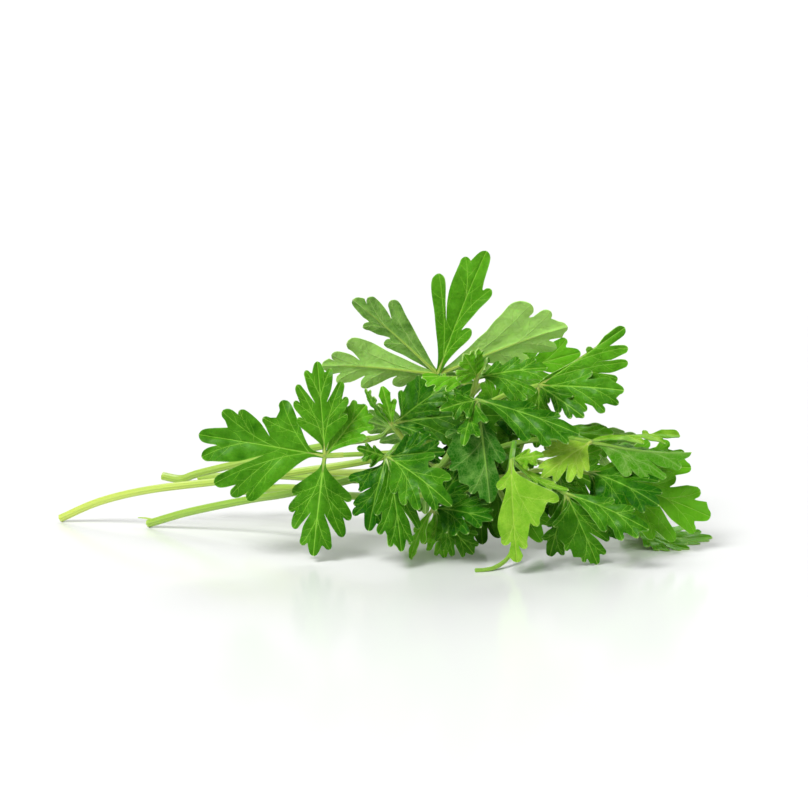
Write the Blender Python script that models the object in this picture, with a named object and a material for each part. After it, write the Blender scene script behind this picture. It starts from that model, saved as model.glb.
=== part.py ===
"""A loose bunch of flat-leaf parsley, lying on a table.

Each stalk is one solid: its stem and the stalklets that branch from it. Each frond is one solid:
its leaflets and the piece of stalklet that carries them. Lengths here are in millimetres, and
mesh_object makes metres of them. +X runs from the cut ends to the leaves and +Z is up.
"""

import math
import random

import bmesh
import bpy
from mathutils import Vector

MM = 0.001

# Driving dimensions.
BLADE = 0.75  # thickness of a leaflet away from its midrib
RIB = 0.9  # what the midrib adds to that at the leaflet's base
STEM_RADIUS = 1.5  # at the cut end
FORK_RADIUS = 1.25  # where the stem ends in its last fork
STALKLET_RADIUS = 0.95
HUB_RADIUS = 0.85  # of the stalklet where the leaflets meet
BARE_END_RADIUS = 0.75  # of a stalklet that has lost its leaflets
STUB = 6.0  # length of stalklet that belongs to a frond
ROOTED = 2.0  # how far a stalklet starts back inside the stem
GAP = 0.3  # between a frond's stalklet and the stalk it grew from

# How stems and stalklets are divided, and how a stalklet leaves its fork and meets its frond.
STEM_SIDES = 8
STALKLET_SIDES = 6
STEM_STEP = 18.0  # distance between the rings of a stem
STALKLET_STEP = 12.0
LEAVES_STRAIGHT = 6.0  # a stalklet runs on with the stem this far
ARRIVES_STRAIGHT = 5.0  # and in line with its frond's end this far
SHORT_SHARE = 0.3  # but neither is a larger share of a short stalklet than this

# How a leaflet's blade bends. A share is of the leaflet's length.
TWIST = 0.25  # most turn about its midrib from base to apex, in radians
RIPPLE = (0.05, 0.09)  # least and most height of its waves, as a share of the distance out
WAVES = 8.0  # radians of wave along the leaflet
CURL = (0.1, 0.5)  # how fast its sides droop
PROBE = 0.01  # share over which its slope is taken

# How it lies on the table.
LYING = 0.5  # a leaflet whose upper side faces up at least this much lies on the table it reaches
ON_TABLE = 0.05  # a point nearer than this to the table is on it
ON_PLANE = 1e-5  # the same for the cut that makes a flat spot
CENTRE = Vector((-2.4, -5.3, 0.0))  # middle of the bunch's footprint, moved to the origin

# Each material: its colour and its roughness.
FINISHES = {
    "leaf": ((0.065, 0.27, 0.018), 0.42),
    "young_leaf": ((0.24, 0.46, 0.035), 0.42),
    "stem": ((0.42, 0.60, 0.13), 0.38),
}

# A leaflet is drawn on a length of 1, from its base to its apex. The midrib has these stations,
# where the side veins leave it, and the last is the apex.
STATIONS = (0.0, 0.12, 0.38, 0.60, 0.82, 1.0)
BASE_HALF_WIDTH = 0.018
NECK = (0.11, 0.035)  # along and out, where the stalk-like base starts to widen
APEX_HALF_WIDTH = 0.05
ROUND_TOOTH = 0.065  # a tooth at least this wide has a point at its tip as well as two shoulders
BLUNT = (0.3, 0.7)  # back from the tip and aside, where a narrow tooth's shoulders lie, in half widths

# One side of a leaflet, from base to apex. Each tooth is how far along and out its tip lies, its
# half width, the station its vein leaves from, and how far along and out the notch after it lies.
SIDES = {
    "broad": (
        (0.54, 0.44, 0.045, 1, 0.51, 0.35),
        (0.67, 0.43, 0.045, 1, 0.64, 0.34),
        (0.81, 0.36, 0.055, 1, 0.47, 0.08),
        (0.94, 0.17, 0.055, 3, 0.84, 0.06),
    ),
    "horn": (
        (0.40, 0.37, 0.050, 1, 0.42, 0.23),
        (0.52, 0.21, 0.035, 1, 0.44, 0.07),
        (0.71, 0.235, 0.040, 2, 0.68, 0.18),
        (0.84, 0.21, 0.050, 2, 0.78, 0.09),
    ),
    "lobed": (
        (0.42, 0.31, 0.045, 1, 0.44, 0.267),
        (0.60, 0.33, 0.045, 1, 0.63, 0.28),
        (0.77, 0.28, 0.050, 1, 0.56, 0.07),
        (0.91, 0.16, 0.045, 3, 0.88, 0.08),
    ),
    "fingers": (
        (0.66, 0.37, 0.045, 1, 0.52, 0.20),
        (0.83, 0.30, 0.045, 1, 0.60, 0.12),
        (0.91, 0.18, 0.045, 2, 0.78, 0.06),
    ),
    "wedge": (
        (0.60, 0.25, 0.050, 1, 0.66, 0.20),
        (0.80, 0.25, 0.050, 2, 0.82, 0.16),
        (0.94, 0.15, 0.045, 3, 0.92, 0.09),
    ),
    "ear": (
        (0.75, 0.21, 0.055, 1, 0.62, 0.075),
        (0.91, 0.10, 0.045, 3, 0.93, 0.065),
    ),
    "wing": (
        (0.80, 0.205, 0.065, 1, 0.67, 0.045),
        (0.92, 0.095, 0.045, 3, 0.94, 0.06),
    ),
    "fork": (
        (0.71, 0.26, 0.050, 1, 0.37, 0.06),
        (0.90, 0.125, 0.045, 3, 0.88, 0.08),
    ),
    "spur": (
        (0.42, 0.125, 0.045, 1, 0.58, 0.125),
        (0.75, 0.15, 0.040, 2, 0.78, 0.08),
    ),
    "shoulder": (
        (0.83, 0.25, 0.080, 1, 0.80, 0.14),
        (0.935, 0.155, 0.045, 3, 0.91, 0.10),
    ),
    "scallop": (
        (0.36, 0.15, 0.055, 1, 0.47, 0.145),
        (0.63, 0.18, 0.060, 2, 0.73, 0.15),
        (0.85, 0.145, 0.050, 3, 0.92, 0.09),
    ),
    "plain": ((0.62, 0.165, 0.060, 1, 0.80, 0.12),),
    "folded": ((0.60, 0.05, 0.040, 3, 0.80, 0.05),),
    "full": (
        (0.30, 0.36, 0.040, 1, 0.44, 0.38),
        (0.62, 0.36, 0.045, 2, 0.75, 0.29),
        (0.88, 0.18, 0.045, 3, 0.94, 0.10),
    ),
    "straight": (
        (0.28, 0.12, 0.045, 1, 0.55, 0.125),
        (0.82, 0.10, 0.045, 3, 0.93, 0.07),
    ),
    "flag": (
        (0.41, 0.40, 0.055, 1, 0.50, 0.28),
        (0.64, 0.22, 0.045, 1, 0.74, 0.13),
        (0.86, 0.09, 0.045, 3, 0.93, 0.065),
    ),
    "slim": (
        (0.52, 0.14, 0.050, 2, 0.62, 0.12),
        (0.76, 0.15, 0.045, 3, 0.82, 0.08),
    ),
    "small": (
        (0.48, 0.30, 0.060, 1, 0.52, 0.15),
        (0.78, 0.23, 0.060, 2, 0.78, 0.10),
    ),
}

# Each frond: the hub where its leaflets meet, the way back along its stalklet, and its leaflets.
# Each leaflet: its tip, the way its upper side faces, its right and left sides, its width, the
# height of its arch over its length, and its fold along the midrib in degrees, edges up.
FRONDS = {
    "front_left": {
        "hub": (-21, -31, 37),
        "from": (1, 0.15, 0.02),
        "leaflets": (
            ((-64, -29, 44), (-0.1, -1, 0.3), "horn", "broad", 1.0, 0.05, 8),
            ((-23.5, -27, 69), (0.1, -1, 0.2), "lobed", "lobed", 0.85, 0.06, 10),
            ((-25, -33, 2.4), (-0.1, -1, 0.1), "lobed", "lobed", 0.95, 0.04, -14),
            ((-7, -22, 53), (0.2, -1, 0.4), "wedge", "wedge", 1.15, 0.05, 5),
        ),
    },
    "front_middle": {
        "hub": (0, -33, 37),
        "from": (0.4, 0.9, 0.2),
        "leaflets": (
            ((-6, -41, 13), (-0.3, -1, 0.1), "horn", "lobed", 1.1, 0.06, 0),
            ((5, -46, 7), (0.3, -1, 0.0), "wedge", "lobed", 0.85, 0.06, -4),
            ((22, -47, 23), (0.2, -1, 0.5), "lobed", "small", 1.05, 0.10, 0),
            ((-10, -37, 41), (-0.1, -0.9, 0.4), "slim", "small", 1.4, 0.05, 5),
            ((20, -34, 39), (0.0, -1, 0.4), "lobed", "lobed", 1.1, 0.06, 5),
        ),
    },
    "front_upright": {
        "hub": (2, -17, 45),
        "from": (0.6, 0.3, -0.8),
        "leaflets": (
            ((-7.1, -18, 58.2), (-0.9, -0.5, 0.0), "wedge", "slim", 1.1, 0.06, 6),
            ((-1.6, -17, 58.7), (0.1, -1, 0.1), "plain", "plain", 1.25, 0.06, 0),
            ((18, -22, 40), (0.1, -0.7, 0.7), "slim", "plain", 1.0, 0.06, 5),
        ),
    },
    "middle_shaded": {
        "hub": (3, -8, 44),
        "from": (-0.5, 0.6, -0.6),
        "leaflets": (
            ((24, -8, 59.5), (-0.2, -1, 0.6), "wedge", "full", 1.0, 0.05, -6),
            ((40, -10, 47), (0.0, -1, 0.5), "wedge", "lobed", 1.1, 0.10, -6),
        ),
    },
    "inner_low": {
        "hub": (32, 0, 35),
        "from": (-0.8, 0.5, 0.2),
        "leaflets": (
            ((33.5, -12, 1.5), (-0.1, -1, 0.1), "lobed", "broad", 1.05, 0.05, 4),
            ((54, -15, 3), (0.1, -1, 0.2), "lobed", "lobed", 0.95, 0.05, 4),
            ((47, -8, 31), (0.0, -1, 0.4), "wedge", "wedge", 1.2, 0.05, 4),
        ),
    },
    "top": {
        "hub": (18, 5, 59),
        "from": (0.0, 0.1, -1),
        "leaflets": (
            ((-12, 3, 86), (0.3, 1, 0.1), "slim", "ear", 1.05, 0.04, 6),
            ((-23, 0, 63), (0.1, 1, 0.3), "scallop", "wing", 1.05, 0.05, 6),
            ((35, 5, 103), (-0.3, -0.9, 0.2), "spur", "fork", 1.0, 0.05, 8),
            ((63, -4, 77.5), (-0.2, 1, 0.4), "shoulder", "scallop", 1.05, 0.03, 4),
        ),
    },
    "centre_front": {
        "hub": (31, -30, 56),
        "from": (-0.2, 0.9, -0.2),
        "leaflets": (
            ((35, -42, 23), (0.1, 1, 0.0), "plain", "full", 1.0, 0.04, 12),
            ((65, -40, 46), (0.1, -0.8, 0.6), "wedge", "slim", 0.95, 0.05, -6),
            ((18, -38, 54), (0.0, -0.8, 0.6), "small", "small", 1.2, 0.06, 0),
            ((26, -39, 42), (-0.5, -0.8, 0.0), "slim", "small", 1.2, 0.06, 0),
        ),
    },
    "centre_upper": {
        "hub": (31, -20, 62),
        "from": (-0.2, 0.5, -0.9),
        "leaflets": (
            ((34, -31, 70.7), (0.9, -0.5, 0.1), "slim", "slim", 1.2, 0.04, 8),
            ((55, -23, 66), (-0.2, -0.9, 0.5), "broad", "scallop", 1.0, 0.07, 6),
            ((12, -24, 63), (0.2, -0.8, 0.6), "folded", "wedge", 1.1, 0.05, 4),
            ((26, -28, 71.5), (0.1, -1, 0.4), "lobed", "lobed", 1.5, 0.05, 4),
        ),
    },
    "right_upper": {
        "hub": (53, -6, 57),
        "from": (-1, 0.2, -0.3),
        "leaflets": (
            ((82.6, -8, 77.8), (0.3, -0.9, 0.3), "fingers", "folded", 1.0, 0.03, 6),
            ((82, -16, 57), (0.1, -1, 0.4), "wedge", "plain", 1.05, 0.06, -4),
            ((68, -19, 48), (0.1, -1, 0.3), "scallop", "plain", 1.0, 0.06, -4),
            ((80, 14, 63), (-0.2, 0.5, 0.9), "lobed", "lobed", 1.0, 0.06, 4),
            ((52, -12, 36), (0.1, -1, 0.1), "lobed", "wedge", 1.1, 0.05, 4),
        ),
    },
    "right_middle": {
        "young": True,
        "hub": (70, -27, 41),
        "from": (-0.8, 0.6, 0.0),
        "leaflets": (
            ((104, -30, 38), (0.1, 0.6, -0.8), "lobed", "lobed", 0.9, 0.06, 34),
            ((52.5, -39, 31), (0.1, -0.8, 0.6), "lobed", "lobed", 1.05, 0.08, -6),
            ((101.5, -15, 41), (0.0, -0.5, 1), "slim", "folded", 1.0, 0.05, 6),
        ),
    },
    "right_lower": {
        "hub": (70, -21, 29),
        "from": (-0.8, 0.6, 0.1),
        "leaflets": (
            ((92, -42, 22), (0.3, -1, 0.5), "lobed", "lobed", 1.0, 0.08, -8),
            ((112.5, -17, 12.5), (0.0, -0.9, 0.5), "lobed", "scallop", 1.0, 0.06, 4),
            ((106, -12, 29), (0.0, -0.9, 0.5), "slim", "wedge", 1.0, 0.06, 4),
            ((80, -22, 6), (0.1, -1, 0.1), "wedge", "lobed", 1.1, 0.05, 4),
        ),
    },
    "right_foot": {
        "hub": (61, -37, 25),
        "from": (-0.6, 0.8, 0.3),
        "leaflets": (
            ((72, -35.5, 0.2), (0.1, -1, 0.1), "full", "lobed", 0.88, 0.05, 6),
            ((88, -48, 15), (0.3, -0.8, 0.5), "wedge", "slim", 0.95, 0.06, 0),
            ((56, -31, 2), (-0.1, -1, 0.1), "slim", "lobed", 1.1, 0.05, 4),
        ),
    },
    "bright_front": {
        "young": True,
        "hub": (42, -47, 39),
        "from": (0.1, 0.9, 0.3),
        "leaflets": (
            ((44, -51.2, 4.6), (-0.3, -1, 0.1), "straight", "flag", 1.12, 0.06, 8),
            ((60.8, -52, 29.5), (0.2, -0.5, 0.9), "slim", "slim", 0.6, -0.12, 0),
            ((52.5, -49, 41), (0.0, -1, 0.3), "small", "plain", 1.25, 0.06, 0),
        ),
    },
    "low_left": {
        "hub": (16, -28, 18),
        "from": (0.1, 1, 0.2),
        "leaflets": (
            ((36, -42, 17), (0.1, -0.8, 0.6), "lobed", "lobed", 1.1, 0.06, -6),
            ((8.4, -28, 0), (0.0, -0.4, 1), "slim", "plain", 1.0, 0.08, 0),
            ((20, -25, 0), (0.1, -0.9, 0.4), "lobed", "lobed", 1.0, 0.08, 6),
            ((30, -26, 1.5), (0.2, -1, 0.2), "lobed", "wedge", 1.0, 0.06, 4),
            ((26, -29, 33), (0.2, -1, 0.2), "lobed", "wedge", 1.1, 0.06, 4),
        ),
    },
    "right_ground": {
        "hub": (86, -5, 7),
        "from": (-0.9, 0.3, 0.3),
        "leaflets": (
            ((116, 5, 0), (0.1, -0.2, 1), "lobed", "lobed", 0.9, -0.07, 4),
            ((106, -13, 0), (0.1, -0.3, 1), "lobed", "lobed", 0.9, -0.06, 0),
            ((102, 24, 0), (0.1, 0.2, 1), "lobed", "lobed", 0.9, -0.05, 4),
        ),
    },
    "heart": {
        "hub": (36, 9, 42),
        "from": (-0.9, -0.2, 0.1),
        "leaflets": (
            ((54, 6, 45), (0.0, -1, 0.2), "lobed", "lobed", 1.1, 0.05, 4),
            ((43, 12, 60), (0.1, -1, 0.1), "lobed", "lobed", 1.1, 0.05, 4),
            ((44, 8, 26), (0.1, -1, 0.1), "lobed", "lobed", 1.1, 0.05, 4),
            ((22, 8, 20), (-0.1, -1, 0.1), "lobed", "wedge", 1.1, 0.05, 4),
        ),
    },
    "middle_right": {
        "hub": (60, 1, 27),
        "from": (-0.9, 0.4, 0.1),
        "leaflets": (
            ((79, -5, 19), (0.1, -1, 0.2), "lobed", "lobed", 1.1, 0.05, 0),
            ((65, -8, 7), (-0.1, -1, 0.1), "lobed", "lobed", 1.0, 0.05, 0),
            ((76, 2, 33), (0.0, -1, 0.4), "lobed", "lobed", 1.1, 0.05, 0),
            ((52, -2, 8), (-0.1, -1, 0.1), "wedge", "lobed", 1.1, 0.05, 4),
        ),
    },
    "back_upper": {
        "hub": (34, 24, 52),
        "from": (-0.6, -0.6, -0.5),
        "leaflets": (
            ((70, 30, 63), (0.0, -0.8, 0.5), "lobed", "lobed", 1.0, 0.06, 4),
            ((44, 40, 27), (0.0, 0.9, 0.3), "broad", "lobed", 1.0, 0.08, 4),
            ((12, 38, 47), (0.0, 0.7, 0.6), "lobed", "lobed", 1.0, 0.08, 4),
        ),
    },
    "back_right": {
        "hub": (60, 22, 36),
        "from": (-0.9, -0.3, -0.2),
        "leaflets": (
            ((93, 31, 22), (0.0, 0.5, 0.9), "lobed", "broad", 1.0, 0.08, 4),
            ((76, 43, 18), (0.2, 0.9, 0.5), "lobed", "lobed", 1.0, 0.08, 4),
            ((82, 6, 30.5), (0.2, -0.6, 0.8), "lobed", "lobed", 0.9, 0.06, 4),
        ),
    },
    "back_left": {
        "hub": (16, 26, 26),
        "from": (-0.9, -0.3, 0.0),
        "leaflets": (
            ((44, 40.5, 20), (0.1, 0.7, 0.7), "lobed", "lobed", 1.0, 0.08, 4),
            ((14, 43.5, 0), (-0.2, 0.9, 0.3), "broad", "lobed", 0.9, 0.06, 4),
            ((-10, 42, 36), (-0.2, 0.7, 0.6), "lobed", "lobed", 1.0, 0.08, 4),
            ((13, 29, 46), (0.0, -1, 0.2), "lobed", "lobed", 1.1, 0.05, 4),
            ((33, 24, 8), (0.1, -1, 0.2), "lobed", "wedge", 1.1, 0.05, 4),
        ),
    },
}

# Each stalk: the points its stem passes from the cut end, and its fronds, with the share of the
# stem at which each one's stalklet forks off and the points that the stalklet passes.
STALKS = {
    "long": {
        "route": ((-120, 31, 1.35), (-105, 26, 8.7), (-86, 19, 14.6), (-60, 13, 19), (-30, 7, 24), (0, 5, 30), (16, 6, 40)),
        "fronds": (
            ("top", 1.0, ()),
            ("right_upper", 0.92, ()),
            ("back_upper", 0.9, ()),
            ("inner_low", 0.88, ()),
            ("heart", 0.94, ()),
        ),
    },
    "front": {
        "route": ((-87, 22, 1.35), (-71, 15, 7.4), (-49, 5, 14), (-34, -4, 18.3), (-8, -12, 26), (8, -14, 34)),
        "fronds": (
            ("front_left", 0.98, ((6, -24, 37),)),
            ("front_middle", 1.0, ()),
            ("front_upright", 0.99, ()),
        ),
    },
    "bent": {
        "route": ((-82, 27, 18), (-75, 25, 17.3), (-68.5, 22, 20), (-48, 15, 26.3), (-22, 8, 33), (-6, 0, 37)),
        "fronds": (("middle_shaded", 1.0, ()),),
    },
    "inner": {
        "route": ((-69, 30, 16.6), (-45, 22, 19.4), (-8, 3, 21.6), (15, -13, 28), (24, -20, 38)),
        "fronds": (
            ("centre_front", 1.0, ()),
            ("centre_upper", 0.98, ()),
            ("right_middle", 0.85, ((44, -14, 38),)),
        ),
    },
    "low": {
        "route": ((-53, 17, 14.5), (-34, 8, 17.5), (-12, -3, 17), (18, -10, 19), (38, -18, 26)),
        "fronds": (
            ("right_lower", 1.0, ()),
            ("right_foot", 0.97, ()),
            ("bright_front", 0.98, ()),
            ("low_left", 0.62, ()),
        ),
        "bare": ((0.99, ((44, -30, 12), (42, -38, 4), (36, -44, 0.8), (30, -46, 0.6))),),
    },
    "back": {
        "route": ((-52, 32, 16), (-32, 26, 19.5), (-10, 18, 21), (20, 14, 24), (40, 12, 26)),
        "fronds": (
            ("back_right", 1.0, ()),
            ("back_left", 0.6, ()),
            ("right_ground", 0.98, ((62, 2, 16),)),
            ("middle_right", 0.97, ()),
        ),
    },
}


def clear_scene():
    for thing in list(bpy.data.objects):
        bpy.data.objects.remove(thing)


def finish_of(name):
    """A plain material."""
    colour, roughness = FINISHES[name]
    material = bpy.data.materials.new(name)
    material.use_nodes = True
    shader = material.node_tree.nodes["Principled BSDF"]
    shader.inputs["Base Color"].default_value = (*colour, 1.0)
    shader.inputs["Roughness"].default_value = roughness
    return material


def mesh_object(name, points, faces):
    """An object made of these points, in millimetres, and faces, with its faces pointing out."""
    mesh = bpy.data.meshes.new(name)
    mesh.from_pydata([(Vector(p) - CENTRE) * MM for p in points], [], faces)
    thing = bpy.data.objects.new(name, mesh)
    bpy.context.scene.collection.objects.link(thing)
    work = bmesh.new()
    work.from_mesh(mesh)
    bmesh.ops.recalc_face_normals(work, faces=work.faces)
    work.to_mesh(mesh)
    work.free()
    return thing


def join(base, others):
    """Makes base and the others, which overlap it, one closed body."""
    group = bpy.data.collections.new("joined")
    bpy.context.scene.collection.children.link(group)
    for other in others:
        bpy.context.scene.collection.objects.unlink(other)
        group.objects.link(other)
    union = base.modifiers.new("union", "BOOLEAN")
    union.operation = "UNION"
    union.operand_type = "COLLECTION"
    union.collection = group
    union.solver = "EXACT"
    bpy.context.view_layer.objects.active = base
    bpy.ops.object.modifier_apply(modifier=union.name)
    for other in list(group.objects):
        bpy.data.objects.remove(other)
    bpy.data.collections.remove(group)
    return base


def rest_on_table(thing):
    """Flattens what would reach below the table, so that it lies on a flat spot there."""
    work = bmesh.new()
    work.from_mesh(thing.data)
    everything = work.verts[:] + work.edges[:] + work.faces[:]
    cut = bmesh.ops.bisect_plane(
        work,
        geom=everything,
        dist=ON_PLANE * MM,
        plane_co=(0, 0, 0),
        plane_no=(0, 0, -1),
        clear_outer=True,
    )
    rim = [piece for piece in cut["geom_cut"] if isinstance(piece, bmesh.types.BMEdge)]
    if rim:
        bmesh.ops.holes_fill(work, edges=rim)
    work.to_mesh(thing.data)
    work.free()


def along_points(points, step):
    """Points about step apart on a smooth curve through these points (a Catmull-Rom spline)."""
    points = [Vector(p) for p in points]
    before = points[0] * 2 - points[1]
    after = points[-1] * 2 - points[-2]
    run = [before, *points, after]
    out = [points[0]]
    for i in range(1, len(run) - 2):
        a, b, c, d = run[i - 1 : i + 3]
        count = max(1, round((c - b).length / step))
        for k in range(1, count + 1):
            t = k / count
            out.append(
                0.5 * (2 * b + (c - a) * t + (2 * a - 5 * b + 4 * c - d) * t * t
                       + (3 * b - a - 3 * c + d) * t * t * t)
            )
    return out


def at_share(line, share):
    """The point at this share of a line's length, and the way the line runs there."""
    lengths = [(b - a).length for a, b in zip(line, line[1:])]
    left = share * sum(lengths)
    for (a, b), length in zip(zip(line, line[1:]), lengths):
        if left <= length + 1e-6:
            return a.lerp(b, left / length), (b - a).normalized()
        left -= length
    return line[-1], (line[-1] - line[-2]).normalized()


def tube(name, line, radii, sides):
    """A round stem along a line, with flat ends. radii are those of its two ends."""
    points, faces = [], []
    across = Vector((0, 0, 1))
    for i, centre in enumerate(line):
        ahead = (line[min(i + 1, len(line) - 1)] - line[max(i - 1, 0)]).normalized()
        across = (across - ahead * across.dot(ahead)).normalized()
        other = ahead.cross(across)
        radius = radii[0] + (radii[1] - radii[0]) * i / (len(line) - 1)
        for k in range(sides):
            turn = 2 * math.pi * k / sides
            points.append(centre + (across * math.cos(turn) + other * math.sin(turn)) * radius)
    for i in range(len(line) - 1):
        for k in range(sides):
            a, b = i * sides + k, i * sides + (k + 1) % sides
            faces.append((a, b, b + sides, a + sides))
    faces.append(tuple(range(sides)))
    faces.append(tuple(range((len(line) - 1) * sides, len(line) * sides)))
    return mesh_object(name, points, faces)


def side_outline(side):
    """Points of one side's edge from base to apex: (along, out, the station each one hangs on)."""
    points = [(0.0, BASE_HALF_WIDTH, 0), (*NECK, 1)]
    for tip_along, tip_out, half, station, notch_along, notch_out in SIDES[side]:
        root = Vector((STATIONS[station], 0))
        tip = Vector((tip_along, tip_out))
        axis = (tip - root).normalized()
        aside = Vector((-axis.y, axis.x)) * half
        if half >= ROUND_TOOTH:
            shoulder = tip - axis * half
            ring = (shoulder + aside, tip, shoulder - aside)
        else:
            shoulder = tip - axis * half * BLUNT[0]
            ring = (shoulder + aside * BLUNT[1], shoulder - aside * BLUNT[1])
        points += [(p.x, p.y, station) for p in ring]
        points.append((notch_along, notch_out, station))
    last = len(STATIONS) - 2
    points.append((1 - APEX_HALF_WIDTH, APEX_HALF_WIDTH, last))
    return points


class Leaflet:
    """Where each point of a leaflet's flat drawing lies in space."""

    def __init__(self, name, hub, row):
        tip, face, self.right_side, self.left_side, self.width, self.arch, fold = row
        chance = random.Random(name)
        self.base = Vector(hub)
        chord = Vector(tip) - self.base
        self.length = chord.length
        self.ahead = chord.normalized()
        face = Vector(face)
        self.up = (face - self.ahead * face.dot(self.ahead)).normalized()
        self.right = self.ahead.cross(self.up)
        self.fold = math.radians(fold)
        self.twist = chance.uniform(-TWIST, TWIST)
        self.ripple = chance.uniform(*RIPPLE)
        self.phase = chance.uniform(0, 2 * math.pi)
        self.curl = chance.uniform(*CURL)
        self.lies = self.up.z > LYING

    def place(self, along, out):
        """The point this share of the length along the midrib and out to the right of it."""
        wide = abs(out) * self.width
        side = 1 if out > 0 else -1
        turn = self.twist * along
        right = self.right * math.cos(turn) + self.up * math.sin(turn)
        up = self.up * math.cos(turn) - self.right * math.sin(turn)
        arch = 4 * self.arch * along * (1 - along)
        wave = self.ripple * math.sin(self.phase + WAVES * along + side) * wide
        rise = wide * math.sin(self.fold) - self.curl * wide * wide + wave
        here = self.base + self.ahead * (along * self.length) + self.up * (arch * self.length)
        here += (right * (side * wide * math.cos(self.fold)) + up * rise) * self.length
        if self.lies:
            here.z = max(here.z, BLADE / 2)
        return here

    def normal(self, along, out):
        """The way the upper side faces there."""
        ahead = self.place(along + PROBE, out) - self.place(along - PROBE, out)
        across = self.place(along, out + PROBE) - self.place(along, out - PROBE)
        return across.cross(ahead).normalized()


def leaflet_solid(name, leaflet):
    """A leaflet's blade, split into the same triangles on its upper and under side."""
    flat, faces = [(along, 0.0) for along in STATIONS], []
    midrib = list(range(len(STATIONS)))
    edges = []
    for side, turn in ((leaflet.right_side, 1), (leaflet.left_side, -1)):
        outline = side_outline(side)
        first = len(flat)
        flat += [(along, turn * out) for along, out, _ in outline]
        stations = [station for _, _, station in outline]
        edge = list(range(first, len(flat)))
        half = []
        for k in range(len(edge) - 1):
            for station in range(stations[k], stations[k + 1]):
                half.append((midrib[station], edge[k], midrib[station + 1]))
            half.append((midrib[stations[k + 1]], edge[k], edge[k + 1]))
        half.append((midrib[stations[-1]], edge[-1], midrib[-1]))
        faces += half if turn > 0 else [face[::-1] for face in half]
        edges.append(edge)
    count = len(flat)
    points = []
    for sign in (1, -1):
        for i, (along, out) in enumerate(flat):
            thick = BLADE + (RIB * (1 - along) if i < len(STATIONS) - 1 else 0)
            point = leaflet.place(along, out) + leaflet.normal(along, out) * (sign * thick / 2)
            if leaflet.lies and point.z < ON_TABLE:
                point.z = 0
            points.append(point)
    under = [tuple(i + count for i in face[::-1]) for face in faces]
    rim = [midrib[-1], *reversed(edges[0]), midrib[0], *edges[1]]
    walls = []
    for a, b in zip(rim, rim[1:] + rim[:1]):
        walls += [(a, b, b + count), (a, b + count, a + count)]
    return mesh_object(name, points, faces + under + walls)


def finish_off(thing, finish):
    """Flattens it where it meets the table, smooths its round parts and gives it its material."""
    rest_on_table(thing)
    thing.data.shade_smooth()
    thing.data.set_sharp_from_angle(angle=math.radians(40))
    thing.data.materials.append(finish)


def frond_solid(name, plan, finish):
    """A frond: its leaflets, joined by the end of their stalklet."""
    hub = Vector(plan["hub"])
    root = hub + Vector(plan["from"]).normalized() * STUB
    inner = hub + (hub - root).normalized() * HUB_RADIUS
    stub = tube("frond_" + name, [root, hub, inner], (STALKLET_RADIUS, HUB_RADIUS), STALKLET_SIDES)
    leaflets = [
        leaflet_solid(f"{name}_{i}", Leaflet(f"{name} {i}", hub, row))
        for i, row in enumerate(plan["leaflets"])
    ]
    finish_off(join(stub, leaflets), finish)


def stalklet_line(start, way, via, root, arrives):
    """A smooth line from the fork to just short of a frond's own stalklet."""
    reach = (root - start).length
    rooted = start - way * ROOTED
    first = start + way * min(LEAVES_STRAIGHT, reach * SHORT_SHARE)
    last = root - arrives * min(ARRIVES_STRAIGHT, reach * SHORT_SHARE)
    return along_points([rooted, start, first, *via, last, root], STALKLET_STEP)


def stalk_solid(name, plan, finish):
    """A stalk: its stem, with a stalklet to each of its fronds."""
    line = along_points(plan["route"], STEM_STEP)
    stem = tube("stalk_" + name, line, (STEM_RADIUS, FORK_RADIUS), STEM_SIDES)
    branches = []
    for share, points in plan.get("bare", ()):
        start, way = at_share(line, share)
        run = along_points([start - way * ROOTED, start, *points], STALKLET_STEP)
        branches.append(tube(f"{name}_bare", run, (STALKLET_RADIUS, BARE_END_RADIUS), STALKLET_SIDES))
    for frond, share, via in plan["fronds"]:
        start, way = at_share(line, share)
        towards = Vector(FRONDS[frond]["from"]).normalized()
        root = Vector(FRONDS[frond]["hub"]) + towards * (STUB + GAP)
        run = stalklet_line(start, way, [Vector(p) for p in via], root, -towards)
        branches.append(tube(f"{name}_{frond}", run, (STALKLET_RADIUS,) * 2, STALKLET_SIDES))
    finish_off(join(stem, branches), finish)


def main():
    clear_scene()
    finishes = {name: finish_of(name) for name in FINISHES}
    for name, plan in STALKS.items():
        stalk_solid(name, plan, finishes["stem"])
    for name, plan in FRONDS.items():
        frond_solid(name, plan, finishes["young_leaf" if plan.get("young") else "leaf"])


main()
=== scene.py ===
# %% [markdown]
# # A loose bunch of flat-leaf parsley
#
# The bunch lies on a table with its cut ends to the left. Six stalks fork into thin stalklets, and
# all of these but one carry a frond of two to five leaflets. The solid model already says where
# everything is, so here each solid is replaced by a finer piece that follows the same drawing:
# thin blades with round teeth and veins, and ribbed stalks.
#
# The solid model comes in first. It is the frame that all other pieces are measured against.

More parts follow.
